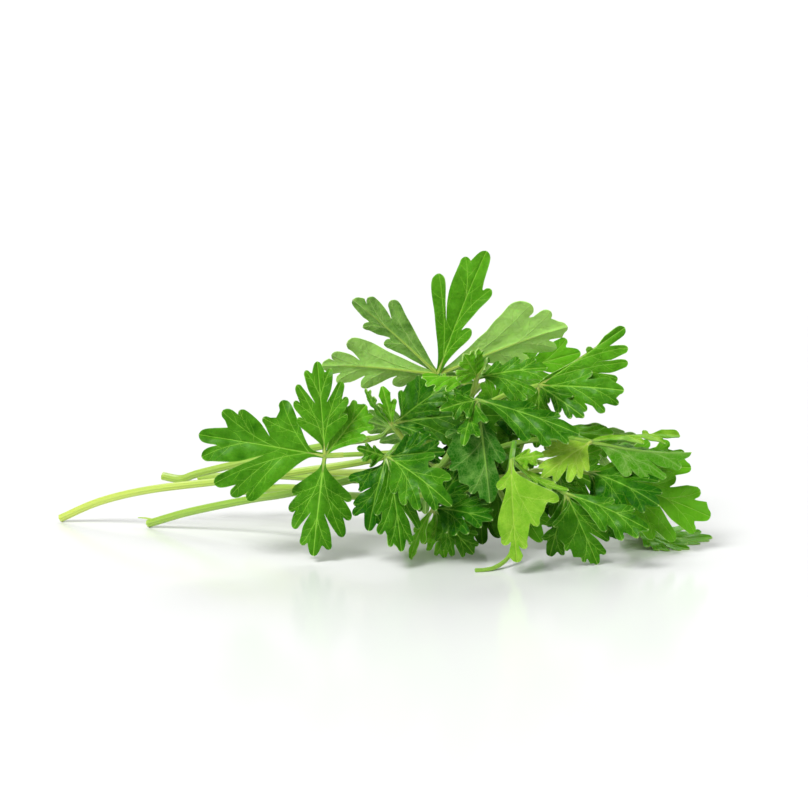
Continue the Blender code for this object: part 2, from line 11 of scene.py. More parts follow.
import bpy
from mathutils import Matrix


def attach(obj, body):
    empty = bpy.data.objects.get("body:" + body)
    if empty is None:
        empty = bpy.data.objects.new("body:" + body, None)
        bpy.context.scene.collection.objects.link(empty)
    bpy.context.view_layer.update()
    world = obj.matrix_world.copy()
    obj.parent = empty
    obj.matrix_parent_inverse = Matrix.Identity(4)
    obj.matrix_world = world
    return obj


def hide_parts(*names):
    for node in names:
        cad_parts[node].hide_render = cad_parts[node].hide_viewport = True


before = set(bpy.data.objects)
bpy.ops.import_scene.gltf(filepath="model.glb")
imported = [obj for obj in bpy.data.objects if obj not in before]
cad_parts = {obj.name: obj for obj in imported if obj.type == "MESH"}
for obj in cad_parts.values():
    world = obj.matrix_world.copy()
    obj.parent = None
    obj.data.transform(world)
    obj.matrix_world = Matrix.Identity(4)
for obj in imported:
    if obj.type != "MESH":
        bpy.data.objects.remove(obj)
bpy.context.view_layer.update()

# %% [markdown]
# Lengths are easiest to read in millimetres, while the scene is in metres. Plants aren't drawn with
# a ruler, so a few numbers for each leaflet come from a random generator. It is seeded with the
# leaflet's name, and each run draws the same bunch.

# %% Modules and units
import math
import random

import bpy
import numpy as np
from mathutils import Vector

MM = 0.001
CENTRE = np.array((-2.4, -5.3, 0.0))  # middle of the bunch's footprint in the drawing, in mm


def in_metres(points):
    """Points of the drawing, in mm, as rows in the scene's metres."""
    return (np.asarray(points, float).reshape(-1, 3) - CENTRE) * MM


print("the drawing's zero lies at", in_metres((0, 0, 0))[0])

# %% [markdown]
# ## The drawing of the bunch
#
# A grower describes a leaflet by its edge: how many teeth there are, how deep the notches go, and
# from where on the midrib the vein of each tooth comes. Each kind of edge below is one side of a
# leaflet of length 1, from base to apex. A tooth is how far along and out its tip lies, its half
# width, the station on the midrib its vein starts from, and the notch that follows it. Eighteen such
# sides, paired in different ways, are enough for leaflets that all look different.

# %% Kinds of leaflet edge
STATIONS = (0.0, 0.12, 0.38, 0.60, 0.82, 1.0)
SIDES = {
    "broad": (
        (0.54, 0.44, 0.045, 1, 0.51, 0.35),
        (0.67, 0.43, 0.045, 1, 0.64, 0.34),
        (0.81, 0.36, 0.055, 1, 0.47, 0.08),
        (0.94, 0.17, 0.055, 3, 0.84, 0.06),
    ),
    "horn": (
        (0.40, 0.37, 0.050, 1, 0.42, 0.23),
        (0.52, 0.21, 0.035, 1, 0.44, 0.07),
        (0.71, 0.235, 0.040, 2, 0.68, 0.18),
        (0.84, 0.21, 0.050, 2, 0.78, 0.09),
    ),
    "lobed": (
        (0.42, 0.31, 0.045, 1, 0.44, 0.267),
        (0.60, 0.33, 0.045, 1, 0.63, 0.28),
        (0.77, 0.28, 0.050, 1, 0.56, 0.07),
        (0.91, 0.16, 0.045, 3, 0.88, 0.08),
    ),
    "fingers": (
        (0.66, 0.37, 0.045, 1, 0.52, 0.20),
        (0.83, 0.30, 0.045, 1, 0.60, 0.12),
        (0.91, 0.18, 0.045, 2, 0.78, 0.06),
    ),
    "wedge": (
        (0.60, 0.25, 0.050, 1, 0.66, 0.20),
        (0.80, 0.25, 0.050, 2, 0.82, 0.16),
        (0.94, 0.15, 0.045, 3, 0.92, 0.09),
    ),
    "ear": (
        (0.75, 0.21, 0.055, 1, 0.62, 0.075),
        (0.91, 0.10, 0.045, 3, 0.93, 0.065),
    ),
    "wing": (
        (0.80, 0.205, 0.065, 1, 0.67, 0.045),
        (0.92, 0.095, 0.045, 3, 0.94, 0.06),
    ),
    "fork": (
        (0.71, 0.26, 0.050, 1, 0.37, 0.06),
        (0.90, 0.125, 0.045, 3, 0.88, 0.08),
    ),
    "spur": (
        (0.42, 0.125, 0.045, 1, 0.58, 0.125),
        (0.75, 0.15, 0.040, 2, 0.78, 0.08),
    ),
    "shoulder": (
        (0.83, 0.25, 0.080, 1, 0.80, 0.14),
        (0.935, 0.155, 0.045, 3, 0.91, 0.10),
    ),
    "scallop": (
        (0.36, 0.15, 0.055, 1, 0.47, 0.145),
        (0.63, 0.18, 0.060, 2, 0.73, 0.15),
        (0.85, 0.145, 0.050, 3, 0.92, 0.09),
    ),
    "plain": ((0.62, 0.165, 0.060, 1, 0.80, 0.12),),
    "folded": ((0.60, 0.05, 0.040, 3, 0.80, 0.05),),
    "full": (
        (0.30, 0.36, 0.040, 1, 0.44, 0.38),
        (0.62, 0.36, 0.045, 2, 0.75, 0.29),
        (0.88, 0.18, 0.045, 3, 0.94, 0.10),
    ),
    "straight": (
        (0.28, 0.12, 0.045, 1, 0.55, 0.125),
        (0.82, 0.10, 0.045, 3, 0.93, 0.07),
    ),
    "flag": (
        (0.41, 0.40, 0.055, 1, 0.50, 0.28),
        (0.64, 0.22, 0.045, 1, 0.74, 0.13),
        (0.86, 0.09, 0.045, 3, 0.93, 0.065),
    ),
    "slim": (
        (0.52, 0.14, 0.050, 2, 0.62, 0.12),
        (0.76, 0.15, 0.045, 3, 0.82, 0.08),
    ),
    "small": (
        (0.48, 0.30, 0.060, 1, 0.52, 0.15),
        (0.78, 0.23, 0.060, 2, 0.78, 0.10),
    ),
}
print("kinds of edge:", ", ".join(SIDES))

# %% [markdown]
# Each frond has a hub, where its leaflets meet, and the way back along its stalklet. Each leaflet
# has its tip, the way its upper side faces, its right and left sides, its width, the height of its
# arch, and its fold along the midrib in degrees. With these few numbers a leaflet can be turned and
# bent by hand until it sits as it should, and nothing else has to move.

# %% The fronds
FRONDS = {}


def frond(name, hub, back, *leaflets, young=False):
    """Adds a frond to the drawing. back is the way back along its stalklet."""
    FRONDS[name] = {"hub": hub, "from": back, "leaflets": leaflets, "young": young}


frond(
    "front_left", (-21, -31, 37), (1, 0.15, 0.02),
    ((-64, -29, 44), (-0.1, -1, 0.3), "horn", "broad", 1.0, 0.05, 8),
    ((-23.5, -27, 69), (0.1, -1, 0.2), "lobed", "lobed", 0.85, 0.06, 10),
    ((-25, -33, 2.4), (-0.1, -1, 0.1), "lobed", "lobed", 0.95, 0.04, -14),
    ((-7, -22, 53), (0.2, -1, 0.4), "wedge", "wedge", 1.15, 0.05, 5),
)
frond(
    "front_middle", (0, -33, 37), (0.4, 0.9, 0.2),
    ((-6, -41, 13), (-0.3, -1, 0.1), "horn", "lobed", 1.1, 0.06, 0),
    ((5, -46, 7), (0.3, -1, 0.0), "wedge", "lobed", 0.85, 0.06, -4),
    ((22, -47, 23), (0.2, -1, 0.5), "lobed", "small", 1.05, 0.10, 0),
    ((-10, -37, 41), (-0.1, -0.9, 0.4), "slim", "small", 1.4, 0.05, 5),
    ((20, -34, 39), (0.0, -1, 0.4), "lobed", "lobed", 1.1, 0.06, 5),
)
frond(
    "front_upright", (2, -17, 45), (0.6, 0.3, -0.8),
    ((-7.1, -18, 58.2), (-0.9, -0.5, 0.0), "wedge", "slim", 1.1, 0.06, 6),
    ((-1.6, -17, 58.7), (0.1, -1, 0.1), "plain", "plain", 1.25, 0.06, 0),
    ((18, -22, 40), (0.1, -0.7, 0.7), "slim", "plain", 1.0, 0.06, 5),
)
frond(
    "middle_shaded", (3, -8, 44), (-0.5, 0.6, -0.6),
    ((24, -8, 59.5), (-0.2, -1, 0.6), "wedge", "full", 1.0, 0.05, -6),
    ((40, -10, 47), (0.0, -1, 0.5), "wedge", "lobed", 1.1, 0.10, -6),
)
frond(
    "inner_low", (32, 0, 35), (-0.8, 0.5, 0.2),
    ((33.5, -12, 1.5), (-0.1, -1, 0.1), "lobed", "broad", 1.05, 0.05, 4),
    ((54, -15, 3), (0.1, -1, 0.2), "lobed", "lobed", 0.95, 0.05, 4),
    ((47, -8, 31), (0.0, -1, 0.4), "wedge", "wedge", 1.2, 0.05, 4),
)
frond(
    "top", (18, 5, 59), (0.0, 0.1, -1),
    ((-12, 3, 86), (0.3, 1, 0.1), "slim", "ear", 1.05, 0.04, 6),
    ((-23, 0, 63), (0.1, 1, 0.3), "scallop", "wing", 1.05, 0.05, 6),
    ((35, 5, 103), (-0.3, -0.9, 0.2), "spur", "fork", 1.0, 0.05, 8),
    ((63, -4, 77.5), (-0.2, 1, 0.4), "shoulder", "scallop", 1.05, 0.03, 4),
)
frond(
    "centre_front", (31, -30, 56), (-0.2, 0.9, -0.2),
    ((35, -42, 23), (0.1, 1, 0.0), "plain", "full", 1.0, 0.04, 12),
    ((65, -40, 46), (0.1, -0.8, 0.6), "wedge", "slim", 0.95, 0.05, -6),
    ((18, -38, 54), (0.0, -0.8, 0.6), "small", "small", 1.2, 0.06, 0),
    ((26, -39, 42), (-0.5, -0.8, 0.0), "slim", "small", 1.2, 0.06, 0),
)
frond(
    "centre_upper", (31, -20, 62), (-0.2, 0.5, -0.9),
    ((34, -31, 70.7), (0.9, -0.5, 0.1), "slim", "slim", 1.2, 0.04, 8),
    ((55, -23, 66), (-0.2, -0.9, 0.5), "broad", "scallop", 1.0, 0.07, 6),
    ((12, -24, 63), (0.2, -0.8, 0.6), "folded", "wedge", 1.1, 0.05, 4),
    ((26, -28, 71.5), (0.1, -1, 0.4), "lobed", "lobed", 1.5, 0.05, 4),
)
frond(
    "right_upper", (53, -6, 57), (-1, 0.2, -0.3),
    ((82.6, -8, 77.8), (0.3, -0.9, 0.3), "fingers", "folded", 1.0, 0.03, 6),
    ((82, -16, 57), (0.1, -1, 0.4), "wedge", "plain", 1.05, 0.06, -4),
    ((68, -19, 48), (0.1, -1, 0.3), "scallop", "plain", 1.0, 0.06, -4),
    ((80, 14, 63), (-0.2, 0.5, 0.9), "lobed", "lobed", 1.0, 0.06, 4),
    ((52, -12, 36), (0.1, -1, 0.1), "lobed", "wedge", 1.1, 0.05, 4),
)
frond(
    "right_middle", (70, -27, 41), (-0.8, 0.6, 0.0),
    ((104, -30, 38), (0.1, 0.6, -0.8), "lobed", "lobed", 0.9, 0.06, 34),
    ((52.5, -39, 31), (0.1, -0.8, 0.6), "lobed", "lobed", 1.05, 0.08, -6),
    ((101.5, -15, 41), (0.0, -0.5, 1), "slim", "folded", 1.0, 0.05, 6),
    young=True,
)
frond(
    "right_lower", (70, -21, 29), (-0.8, 0.6, 0.1),
    ((92, -42, 22), (0.3, -1, 0.5), "lobed", "lobed", 1.0, 0.08, -8),
    ((112.5, -17, 12.5), (0.0, -0.9, 0.5), "lobed", "scallop", 1.0, 0.06, 4),
    ((106, -12, 29), (0.0, -0.9, 0.5), "slim", "wedge", 1.0, 0.06, 4),
    ((80, -22, 6), (0.1, -1, 0.1), "wedge", "lobed", 1.1, 0.05, 4),
)
frond(
    "right_foot", (61, -37, 25), (-0.6, 0.8, 0.3),
    ((72, -35.5, 0.2), (0.1, -1, 0.1), "full", "lobed", 0.88, 0.05, 6),
    ((88, -48, 15), (0.3, -0.8, 0.5), "wedge", "slim", 0.95, 0.06, 0),
    ((56, -31, 2), (-0.1, -1, 0.1), "slim", "lobed", 1.1, 0.05, 4),
)
frond(
    "bright_front", (42, -47, 39), (0.1, 0.9, 0.3),
    ((44, -51.2, 4.6), (-0.3, -1, 0.1), "straight", "flag", 1.12, 0.06, 8),
    ((60.8, -52, 29.5), (0.2, -0.5, 0.9), "slim", "slim", 0.6, -0.12, 0),
    ((52.5, -49, 41), (0.0, -1, 0.3), "small", "plain", 1.25, 0.06, 0),
    young=True,
)
frond(
    "low_left", (16, -28, 18), (0.1, 1, 0.2),
    ((36, -42, 17), (0.1, -0.8, 0.6), "lobed", "lobed", 1.1, 0.06, -6),
    ((8.4, -28, 0), (0.0, -0.4, 1), "slim", "plain", 1.0, 0.08, 0),
    ((20, -25, 0), (0.1, -0.9, 0.4), "lobed", "lobed", 1.0, 0.08, 6),
    ((30, -26, 1.5), (0.2, -1, 0.2), "lobed", "wedge", 1.0, 0.06, 4),
    ((26, -29, 33), (0.2, -1, 0.2), "lobed", "wedge", 1.1, 0.06, 4),
)
frond(
    "right_ground", (86, -5, 7), (-0.9, 0.3, 0.3),
    ((116, 5, 0), (0.1, -0.2, 1), "lobed", "lobed", 0.9, -0.07, 4),
    ((106, -13, 0), (0.1, -0.3, 1), "lobed", "lobed", 0.9, -0.06, 0),
    ((102, 24, 0), (0.1, 0.2, 1), "lobed", "lobed", 0.9, -0.05, 4),
)
frond(
    "heart", (36, 9, 42), (-0.9, -0.2, 0.1),
    ((54, 6, 45), (0.0, -1, 0.2), "lobed", "lobed", 1.1, 0.05, 4),
    ((43, 12, 60), (0.1, -1, 0.1), "lobed", "lobed", 1.1, 0.05, 4),
    ((44, 8, 26), (0.1, -1, 0.1), "lobed", "lobed", 1.1, 0.05, 4),
    ((22, 8, 20), (-0.1, -1, 0.1), "lobed", "wedge", 1.1, 0.05, 4),
)
frond(
    "middle_right", (60, 1, 27), (-0.9, 0.4, 0.1),
    ((79, -5, 19), (0.1, -1, 0.2), "lobed", "lobed", 1.1, 0.05, 0),
    ((65, -8, 7), (-0.1, -1, 0.1), "lobed", "lobed", 1.0, 0.05, 0),
    ((76, 2, 33), (0.0, -1, 0.4), "lobed", "lobed", 1.1, 0.05, 0),
    ((52, -2, 8), (-0.1, -1, 0.1), "wedge", "lobed", 1.1, 0.05, 4),
)
frond(
    "back_upper", (34, 24, 52), (-0.6, -0.6, -0.5),
    ((70, 30, 63), (0.0, -0.8, 0.5), "lobed", "lobed", 1.0, 0.06, 4),
    ((44, 40, 27), (0.0, 0.9, 0.3), "broad", "lobed", 1.0, 0.08, 4),
    ((12, 38, 47), (0.0, 0.7, 0.6), "lobed", "lobed", 1.0, 0.08, 4),
)
frond(
    "back_right", (60, 22, 36), (-0.9, -0.3, -0.2),
    ((93, 31, 22), (0.0, 0.5, 0.9), "lobed", "broad", 1.0, 0.08, 4),
    ((76, 43, 18), (0.2, 0.9, 0.5), "lobed", "lobed", 1.0, 0.08, 4),
    ((82, 6, 30.5), (0.2, -0.6, 0.8), "lobed", "lobed", 0.9, 0.06, 4),
)
frond(
    "back_left", (16, 26, 26), (-0.9, -0.3, 0.0),
    ((44, 40.5, 20), (0.1, 0.7, 0.7), "lobed", "lobed", 1.0, 0.08, 4),
    ((14, 43.5, 0), (-0.2, 0.9, 0.3), "broad", "lobed", 0.9, 0.06, 4),
    ((-10, 42, 36), (-0.2, 0.7, 0.6), "lobed", "lobed", 1.0, 0.08, 4),
    ((13, 29, 46), (0.0, -1, 0.2), "lobed", "lobed", 1.1, 0.05, 4),
    ((33, 24, 8), (0.1, -1, 0.2), "lobed", "wedge", 1.1, 0.05, 4),
)
print("fronds:", len(FRONDS), "leaflets:", sum(len(plan["leaflets"]) for plan in FRONDS.values()))

# %% [markdown]
# A stalk is the line its stem follows from the cut end, with the share of the stem at which each
# frond's stalklet forks off. One stalklet has lost its leaflets, and curls down to the table.

# %% The stalks
STALKS = {
    "long": {
        "route": (
            (-120, 31, 1.35), (-105, 26, 8.7), (-86, 19, 14.6), (-60, 13, 19), (-30, 7, 24),
            (0, 5, 30), (16, 6, 40),
        ),
        "fronds": (
            ("top", 1.0, ()),
            ("right_upper", 0.92, ()),
            ("back_upper", 0.9, ()),
            ("inner_low", 0.88, ()),
            ("heart", 0.94, ()),
        ),
    },
    "front": {
        "route": (
            (-87, 22, 1.35), (-71, 15, 7.4), (-49, 5, 14), (-34, -4, 18.3), (-8, -12, 26),
            (8, -14, 34),
        ),
        "fronds": (
            ("front_left", 0.98, ((6, -24, 37),)),
            ("front_middle", 1.0, ()),
            ("front_upright", 0.99, ()),
        ),
    },
    "bent": {
        "route": (
            (-82, 27, 18), (-75, 25, 17.3), (-68.5, 22, 20), (-48, 15, 26.3), (-22, 8, 33),
            (-6, 0, 37),
        ),
        "fronds": (("middle_shaded", 1.0, ()),),
    },
    "inner": {
        "route": ((-69, 30, 16.6), (-45, 22, 19.4), (-8, 3, 21.6), (15, -13, 28), (24, -20, 38)),
        "fronds": (
            ("centre_front", 1.0, ()),
            ("centre_upper", 0.98, ()),
            ("right_middle", 0.85, ((44, -14, 38),)),
        ),
    },
    "low": {
        "route": ((-53, 17, 14.5), (-34, 8, 17.5), (-12, -3, 17), (18, -10, 19), (38, -18, 26)),
        "fronds": (
            ("right_lower", 1.0, ()),
            ("right_foot", 0.97, ()),
            ("bright_front", 0.98, ()),
            ("low_left", 0.62, ()),
        ),
        "bare": ((0.99, ((44, -30, 12), (42, -38, 4), (36, -44, 0.8), (30, -46, 0.6))),),
    },
    "back": {
        "route": ((-52, 32, 16), (-32, 26, 19.5), (-10, 18, 21), (20, 14, 24), (40, 12, 26)),
        "fronds": (
            ("back_right", 1.0, ()),
            ("back_left", 0.6, ()),
            ("right_ground", 0.98, ((62, 2, 16),)),
            ("middle_right", 0.97, ()),
        ),
    },
}
print("stalks:", ", ".join(STALKS))

# %% [markdown]
# ## Helpers for modelling
#
# Blender's operators act on everything that is selected, so each step starts by selecting just what
# it works on. These small helpers do what the mouse would: pick an object, go into edit mode, and
# pick points or faces by where they are.

# %% Picking objects, points and faces


def pick(*things):
    """Selects these objects only. The first is the active one."""
    bpy.ops.object.select_all(action="DESELECT")
    for thing in things:
        thing.select_set(True)
    bpy.context.view_layer.objects.active = things[0]


def edit(thing, chosen=None, kind="VERT"):
    """Goes into edit mode with those points, edges or faces selected that chosen(element) is true of."""
    pick(thing)
    bpy.ops.object.mode_set(mode="EDIT")
    bpy.ops.mesh.select_mode(type=kind)
    bpy.ops.mesh.select_all(action="DESELECT" if chosen else "SELECT")
    if chosen:
        bpy.ops.object.mode_set(mode="OBJECT")
        mesh = thing.data
        for element in {"VERT": mesh.vertices, "EDGE": mesh.edges, "FACE": mesh.polygons}[kind]:
            element.select = bool(chosen(element))
        bpy.ops.object.mode_set(mode="EDIT")


def leave_edit():
    bpy.ops.object.mode_set(mode="OBJECT")


def points_of(thing):
    """The thing's points, one row each."""
    rows = np.empty(len(thing.data.vertices) * 3)
    thing.data.vertices.foreach_get("co", rows)
    return rows.reshape(-1, 3)


def set_points(thing, rows):
    thing.data.vertices.foreach_set("co", np.ascontiguousarray(rows, float).ravel())
    thing.data.update()


def keep(thing, name, values, corner=False):
    """Keeps three numbers for each point, or for each corner of a face, as an attribute."""
    layer = thing.data.attributes.new(name, "FLOAT_VECTOR", "CORNER" if corner else "POINT")
    layer.data.foreach_set("vector", np.asarray(values, float).ravel())


def copy_of(thing, name):
    """A copy with a mesh of its own."""
    twin = thing.copy()
    twin.data = thing.data.copy()
    twin.name = twin.data.name = name
    bpy.context.scene.collection.objects.link(twin)
    return twin


# %% [markdown]
# ## A leaflet, cut from the flat
#
# A real parsley leaflet is a thin flat blade first, and then it bends. So it is modelled in the same
# order: cut half a blade out flat, slice it into small squares so that it can bend, and bend it
# later. Each kind of edge is cut once. A leaflet is then a right half and a turned-over left half.
#
# The edge runs smoothly round each tooth and has a sharp corner at each notch, so a smooth curve
# (Catmull-Rom, which passes through all of its points) is drawn from notch to notch.

# %% The edge of half a blade
BASE_HALF_WIDTH = 0.018
NECK = (0.11, 0.035)  # where the stalk-like base starts to widen
APEX = ((0.955, 0.052), (0.985, 0.032), (1.0, 0.0))
EDGE_STEP = 0.012  # between points of the edge, on a leaflet of length 1
LONG_FLANK = 0.13  # the side of a lobe that is longer than this bulges
BULGE, BASE_BULGE = 0.06, -0.015  # by this share of it between lobes, and this beside the base
SEWN = 1e-5  # points closer than this are one point


def runs_of_four(points):
    """Each two neighbouring points with the ones before and after. The ends go on straight."""
    points = [np.asarray(p, float) for p in points]
    run = [points[0] * 2 - points[1], *points, points[-1] * 2 - points[-2]]
    return zip(run, run[1:], run[2:], run[3:])


def smooth_curve(points, step):
    """Points about step apart on a smooth curve through these points."""
    out = [np.asarray(points[0], float)]
    for a, b, c, d in runs_of_four(points):
        count = max(1, round(np.linalg.norm(c - b) / step))
        for k in range(1, count + 1):
            t = k / count
            out.append(
                0.5 * (2 * b + (c - a) * t + (2 * a - 5 * b + 4 * c - d) * t * t
                       + (3 * b - a - 3 * c + d) * t * t * t)
            )
    return out


def tooth_points(tooth):
    """The near side, tip and far side of a tooth with a round end."""
    along, out, half, station = tooth[:4]
    root, tip = np.array((STATIONS[station], 0.0)), np.array((along, out))
    axis = (tip - root) / np.linalg.norm(tip - root)
    aside = np.array((-axis[1], axis[0])) * half
    return [
        tip - axis * half * 1.15 + aside,
        tip - axis * half * 0.35 + aside * 0.72,
        tip + axis * half * 0.08,
        tip - axis * half * 0.35 - aside * 0.72,
        tip - axis * half * 1.15 - aside,
    ]


def rounded(points, step):
    """The same for points that are unevenly spaced: a centripetal curve, which doesn't overshoot."""
    out = [np.asarray(points[0], float)]
    for quad in runs_of_four(points):
        knots = np.cumsum([0, *(np.linalg.norm(b - a) ** 0.5 for a, b in zip(quad, quad[1:]))])
        count = max(1, round(np.linalg.norm(quad[2] - quad[1]) / step))
        for t in np.linspace(knots[1], knots[2], count + 1)[1:]:
            level = list(quad)
            for low, high in ((0, 1), (0, 2), (1, 2)):
                level = [
                    a + (b - a) * ((t - knots[i + low]) / (knots[i + high] - knots[i + low]))
                    for i, (a, b) in enumerate(zip(level, level[1:]))
                ]
            out.append(level[0])
    return out


def half_edge(side):
    """The outer edge of half a blade, from the middle of its base to its apex."""
    edge = [np.array((0.0, 0.0))]
    run = [np.array((0.0, BASE_HALF_WIDTH)), np.array(NECK)]
    for tooth in SIDES[side]:
        near = tooth_points(tooth)
        flank = near[0] - run[-1]
        if np.linalg.norm(flank) > LONG_FLANK:
            bulge = np.array((-flank[1], flank[0])) * (BULGE if len(run) == 1 else BASE_BULGE)
            run.append(run[-1] + flank * 0.55 + bulge)
        run += near
        run.append(np.array(tooth[4:]))
        edge += rounded(run, EDGE_STEP)[len(edge) > 1 :]
        run = [run[-1]]
    run += [np.array(p) for p in APEX]
    return edge + rounded(run, EDGE_STEP)[1:]


print("points round a broad half:", len(half_edge("broad")))

# %% [markdown]
# The half blade starts as a filled circle with as many points as the edge has. Its points are moved
# onto the edge, as paper is trimmed to a line. Then it is sliced with bisect, along and across. The
# slices lie closer together beside the midrib, because the blade bends most there.

# %% The half blades
SLICES_ALONG = np.arange(0.0301, 0.99, 0.0303)
SLICES_ACROSS = (0.0131, 0.0307, 0.0562, 0.0853, *np.arange(0.1152, 0.5, 0.0303))


def half_blade(side):
    edge = half_edge(side)
    bpy.ops.object.select_all(action="DESELECT")
    bpy.ops.mesh.primitive_circle_add(vertices=len(edge), radius=0.5, fill_type="NGON")
    blade = bpy.context.active_object
    blade.name = blade.data.name = "half_" + side
    set_points(blade, [(along, out, 0.0) for along, out in edge])
    highest = max(out for _, out in edge)
    edit(blade)
    cuts = [((at, 0, 0), (1, 0, 0)) for at in SLICES_ALONG]
    cuts += [((0, at, 0), (0, 1, 0)) for at in SLICES_ACROSS if at < highest]
    for place, normal in cuts:
        bpy.ops.mesh.select_all(action="SELECT")
        bpy.ops.mesh.bisect(plane_co=place, plane_no=normal, threshold=SEWN)
    bpy.ops.mesh.select_all(action="SELECT")
    bpy.ops.mesh.normals_make_consistent(inside=False)
    leave_edit()
    if blade.data.polygons[0].normal.z < 0:
        edit(blade)
        bpy.ops.mesh.flip_normals()
        leave_edit()
    return blade


HALVES = {side: half_blade(side) for side in SIDES}
for side, half in HALVES.items():
    print(f"{side}: {len(half.data.vertices)} points, {len(half.data.polygons)} faces")

# %% [markdown]
# Two halves make a flat leaflet. The left half is mirrored, which turns it inside out, so its faces
# are flipped back. Merging by distance then sews the halves together along the midrib.

# %% Two halves make a flat leaflet


def flat_leaflet(name, right_side, left_side):
    leaflet = copy_of(HALVES[right_side], name)
    left = copy_of(HALVES[left_side], name + "_left")
    edit(left)
    bpy.ops.transform.resize(value=(1, -1, 1), center_override=(0, 0, 0))
    bpy.ops.mesh.flip_normals()
    leave_edit()
    pick(leaflet, left)
    bpy.ops.object.join()
    edit(leaflet)
    bpy.ops.mesh.remove_doubles(threshold=SEWN)
    leave_edit()
    return leaflet


# %% [markdown]
# ## Veins
#
# The veins are what makes parsley look like parsley: one from the midrib to each lobe, one from
# there to each tooth, and finer ones between. A blade modelled finely enough to carry them as ridges
# would have millions of faces. Instead each face remembers how far its corners are from the nearest
# veins, and the finish draws the lines from that. The distance is positive on one side of the vein
# and negative on the other, so it passes through zero exactly on the vein, however large the face.

# %% Where the veins run
VEIN_STEP = 0.02
FINE_ANGLE = math.radians(34)


def vein(start, end, bow, thick, thin):
    """A vein that bows out on its way: its points, and its half width at both ends in mm."""
    start, end = np.asarray(start, float), np.asarray(end, float)
    reach = end - start
    aside = np.array((reach[1], -reach[0]))
    count = max(3, round(np.linalg.norm(reach) / VEIN_STEP))
    shares = np.linspace(0, 1, count)[:, None]
    points = start + reach * shares + aside * (4 * bow * shares * (1 - shares))
    return points, thick, thin


def fine_veins(points, thick, length, first, chance):
    """Short veins that leave a larger one, in turn to its one side and its other."""
    out = []
    for k, share in enumerate(np.arange(first, 0.9, 0.17)):
        at = share * (len(points) - 1)
        here = points[int(at)]
        ahead = points[min(int(at) + 1, len(points) - 1)] - points[max(int(at) - 1, 0)]
        turn = FINE_ANGLE * (1 if k % 2 else -1) * chance.uniform(0.8, 1.25)
        heading = math.atan2(ahead[1], ahead[0]) + turn
        reach = length * chance.uniform(0.7, 1.2) * (1 - 0.4 * share)
        end = here + reach * np.array((math.cos(heading), math.sin(heading)))
        out.append(vein(here, end, 0.06 * (-1 if k % 2 else 1), thick, thick * 0.5))
    return out


def side_veins(side):
    """All the veins of one side of a leaflet, apart from the midrib."""
    chance = random.Random("veins " + side)
    veins = []
    lobes = {}
    for tooth in SIDES[side]:
        lobes.setdefault(tooth[3], []).append(np.array(tooth[:2]))
    for station, tips in lobes.items():
        root = np.array((STATIONS[station], 0.0))
        tips.sort(key=lambda tip: -np.linalg.norm(tip - root))
        main = vein(root, tips[0], 0.05, 0.16, 0.08)
        veins.append(main)
        for k, tip in enumerate(tips[1:]):
            leaves = main[0][int((0.42 - 0.14 * k) * (len(main[0]) - 1))]
            branch = vein(leaves, tip, 0.03, 0.12, 0.07)
            veins += [branch, *fine_veins(branch[0], 0.065, 0.09, 0.3, chance)]
        veins += fine_veins(main[0], 0.07, 0.13, 0.22, chance)
    midrib = vein((0.1, 0), (1, 0), 0, 0.1, 0.1)[0]
    return veins + [v for v in fine_veins(midrib, 0.08, 0.16, 0.12, chance) if v[0][-1][1] > 0]


VEINS = {side: side_veins(side) for side in SIDES}
print("veins:", {side: len(veins) for side, veins in VEINS.items()})

# %% [markdown]
# The next cell measures, for each face, which three veins are nearest to it, and how far each of its
# corners is from them, in half widths of the vein. The results go onto the mesh as attributes, which
# stay with the faces when the leaflet is bent: "veins" holds the three distances, and "marks" holds
# how far a corner is from the nearest tooth tip, how far from the edge, and the leaflet's tone, which
# is how light it is. The UV map "blade" holds how far along and out a corner lies, in mm.

# %% Writing the veins onto a blade
FAR = 60.0  # half widths, for a vein that isn't near


def distance_to(points, line):
    """How far points are from a line, with the sign of the side they are on, and the share along it."""
    a, b = line[:-1], line[1:]
    reach = b - a
    long = (reach**2).sum(1)
    share = ((points[:, None] - a) * reach).sum(2) / long
    gap = points[:, None] - a - np.clip(share, 0, 1)[:, :, None] * reach
    apart = np.sqrt((gap**2).sum(2))
    nearest = apart.argmin(1)
    rows = np.arange(len(points))
    to_point = (points[:, None] - a)[rows, nearest]
    way = reach[nearest]
    side = np.sign(way[:, 0] * to_point[:, 1] - way[:, 1] * to_point[:, 0])
    along = (nearest + np.clip(share[rows, nearest], 0, 1)) / len(a)
    return apart[rows, nearest] * np.where(side == 0, 1, side), along


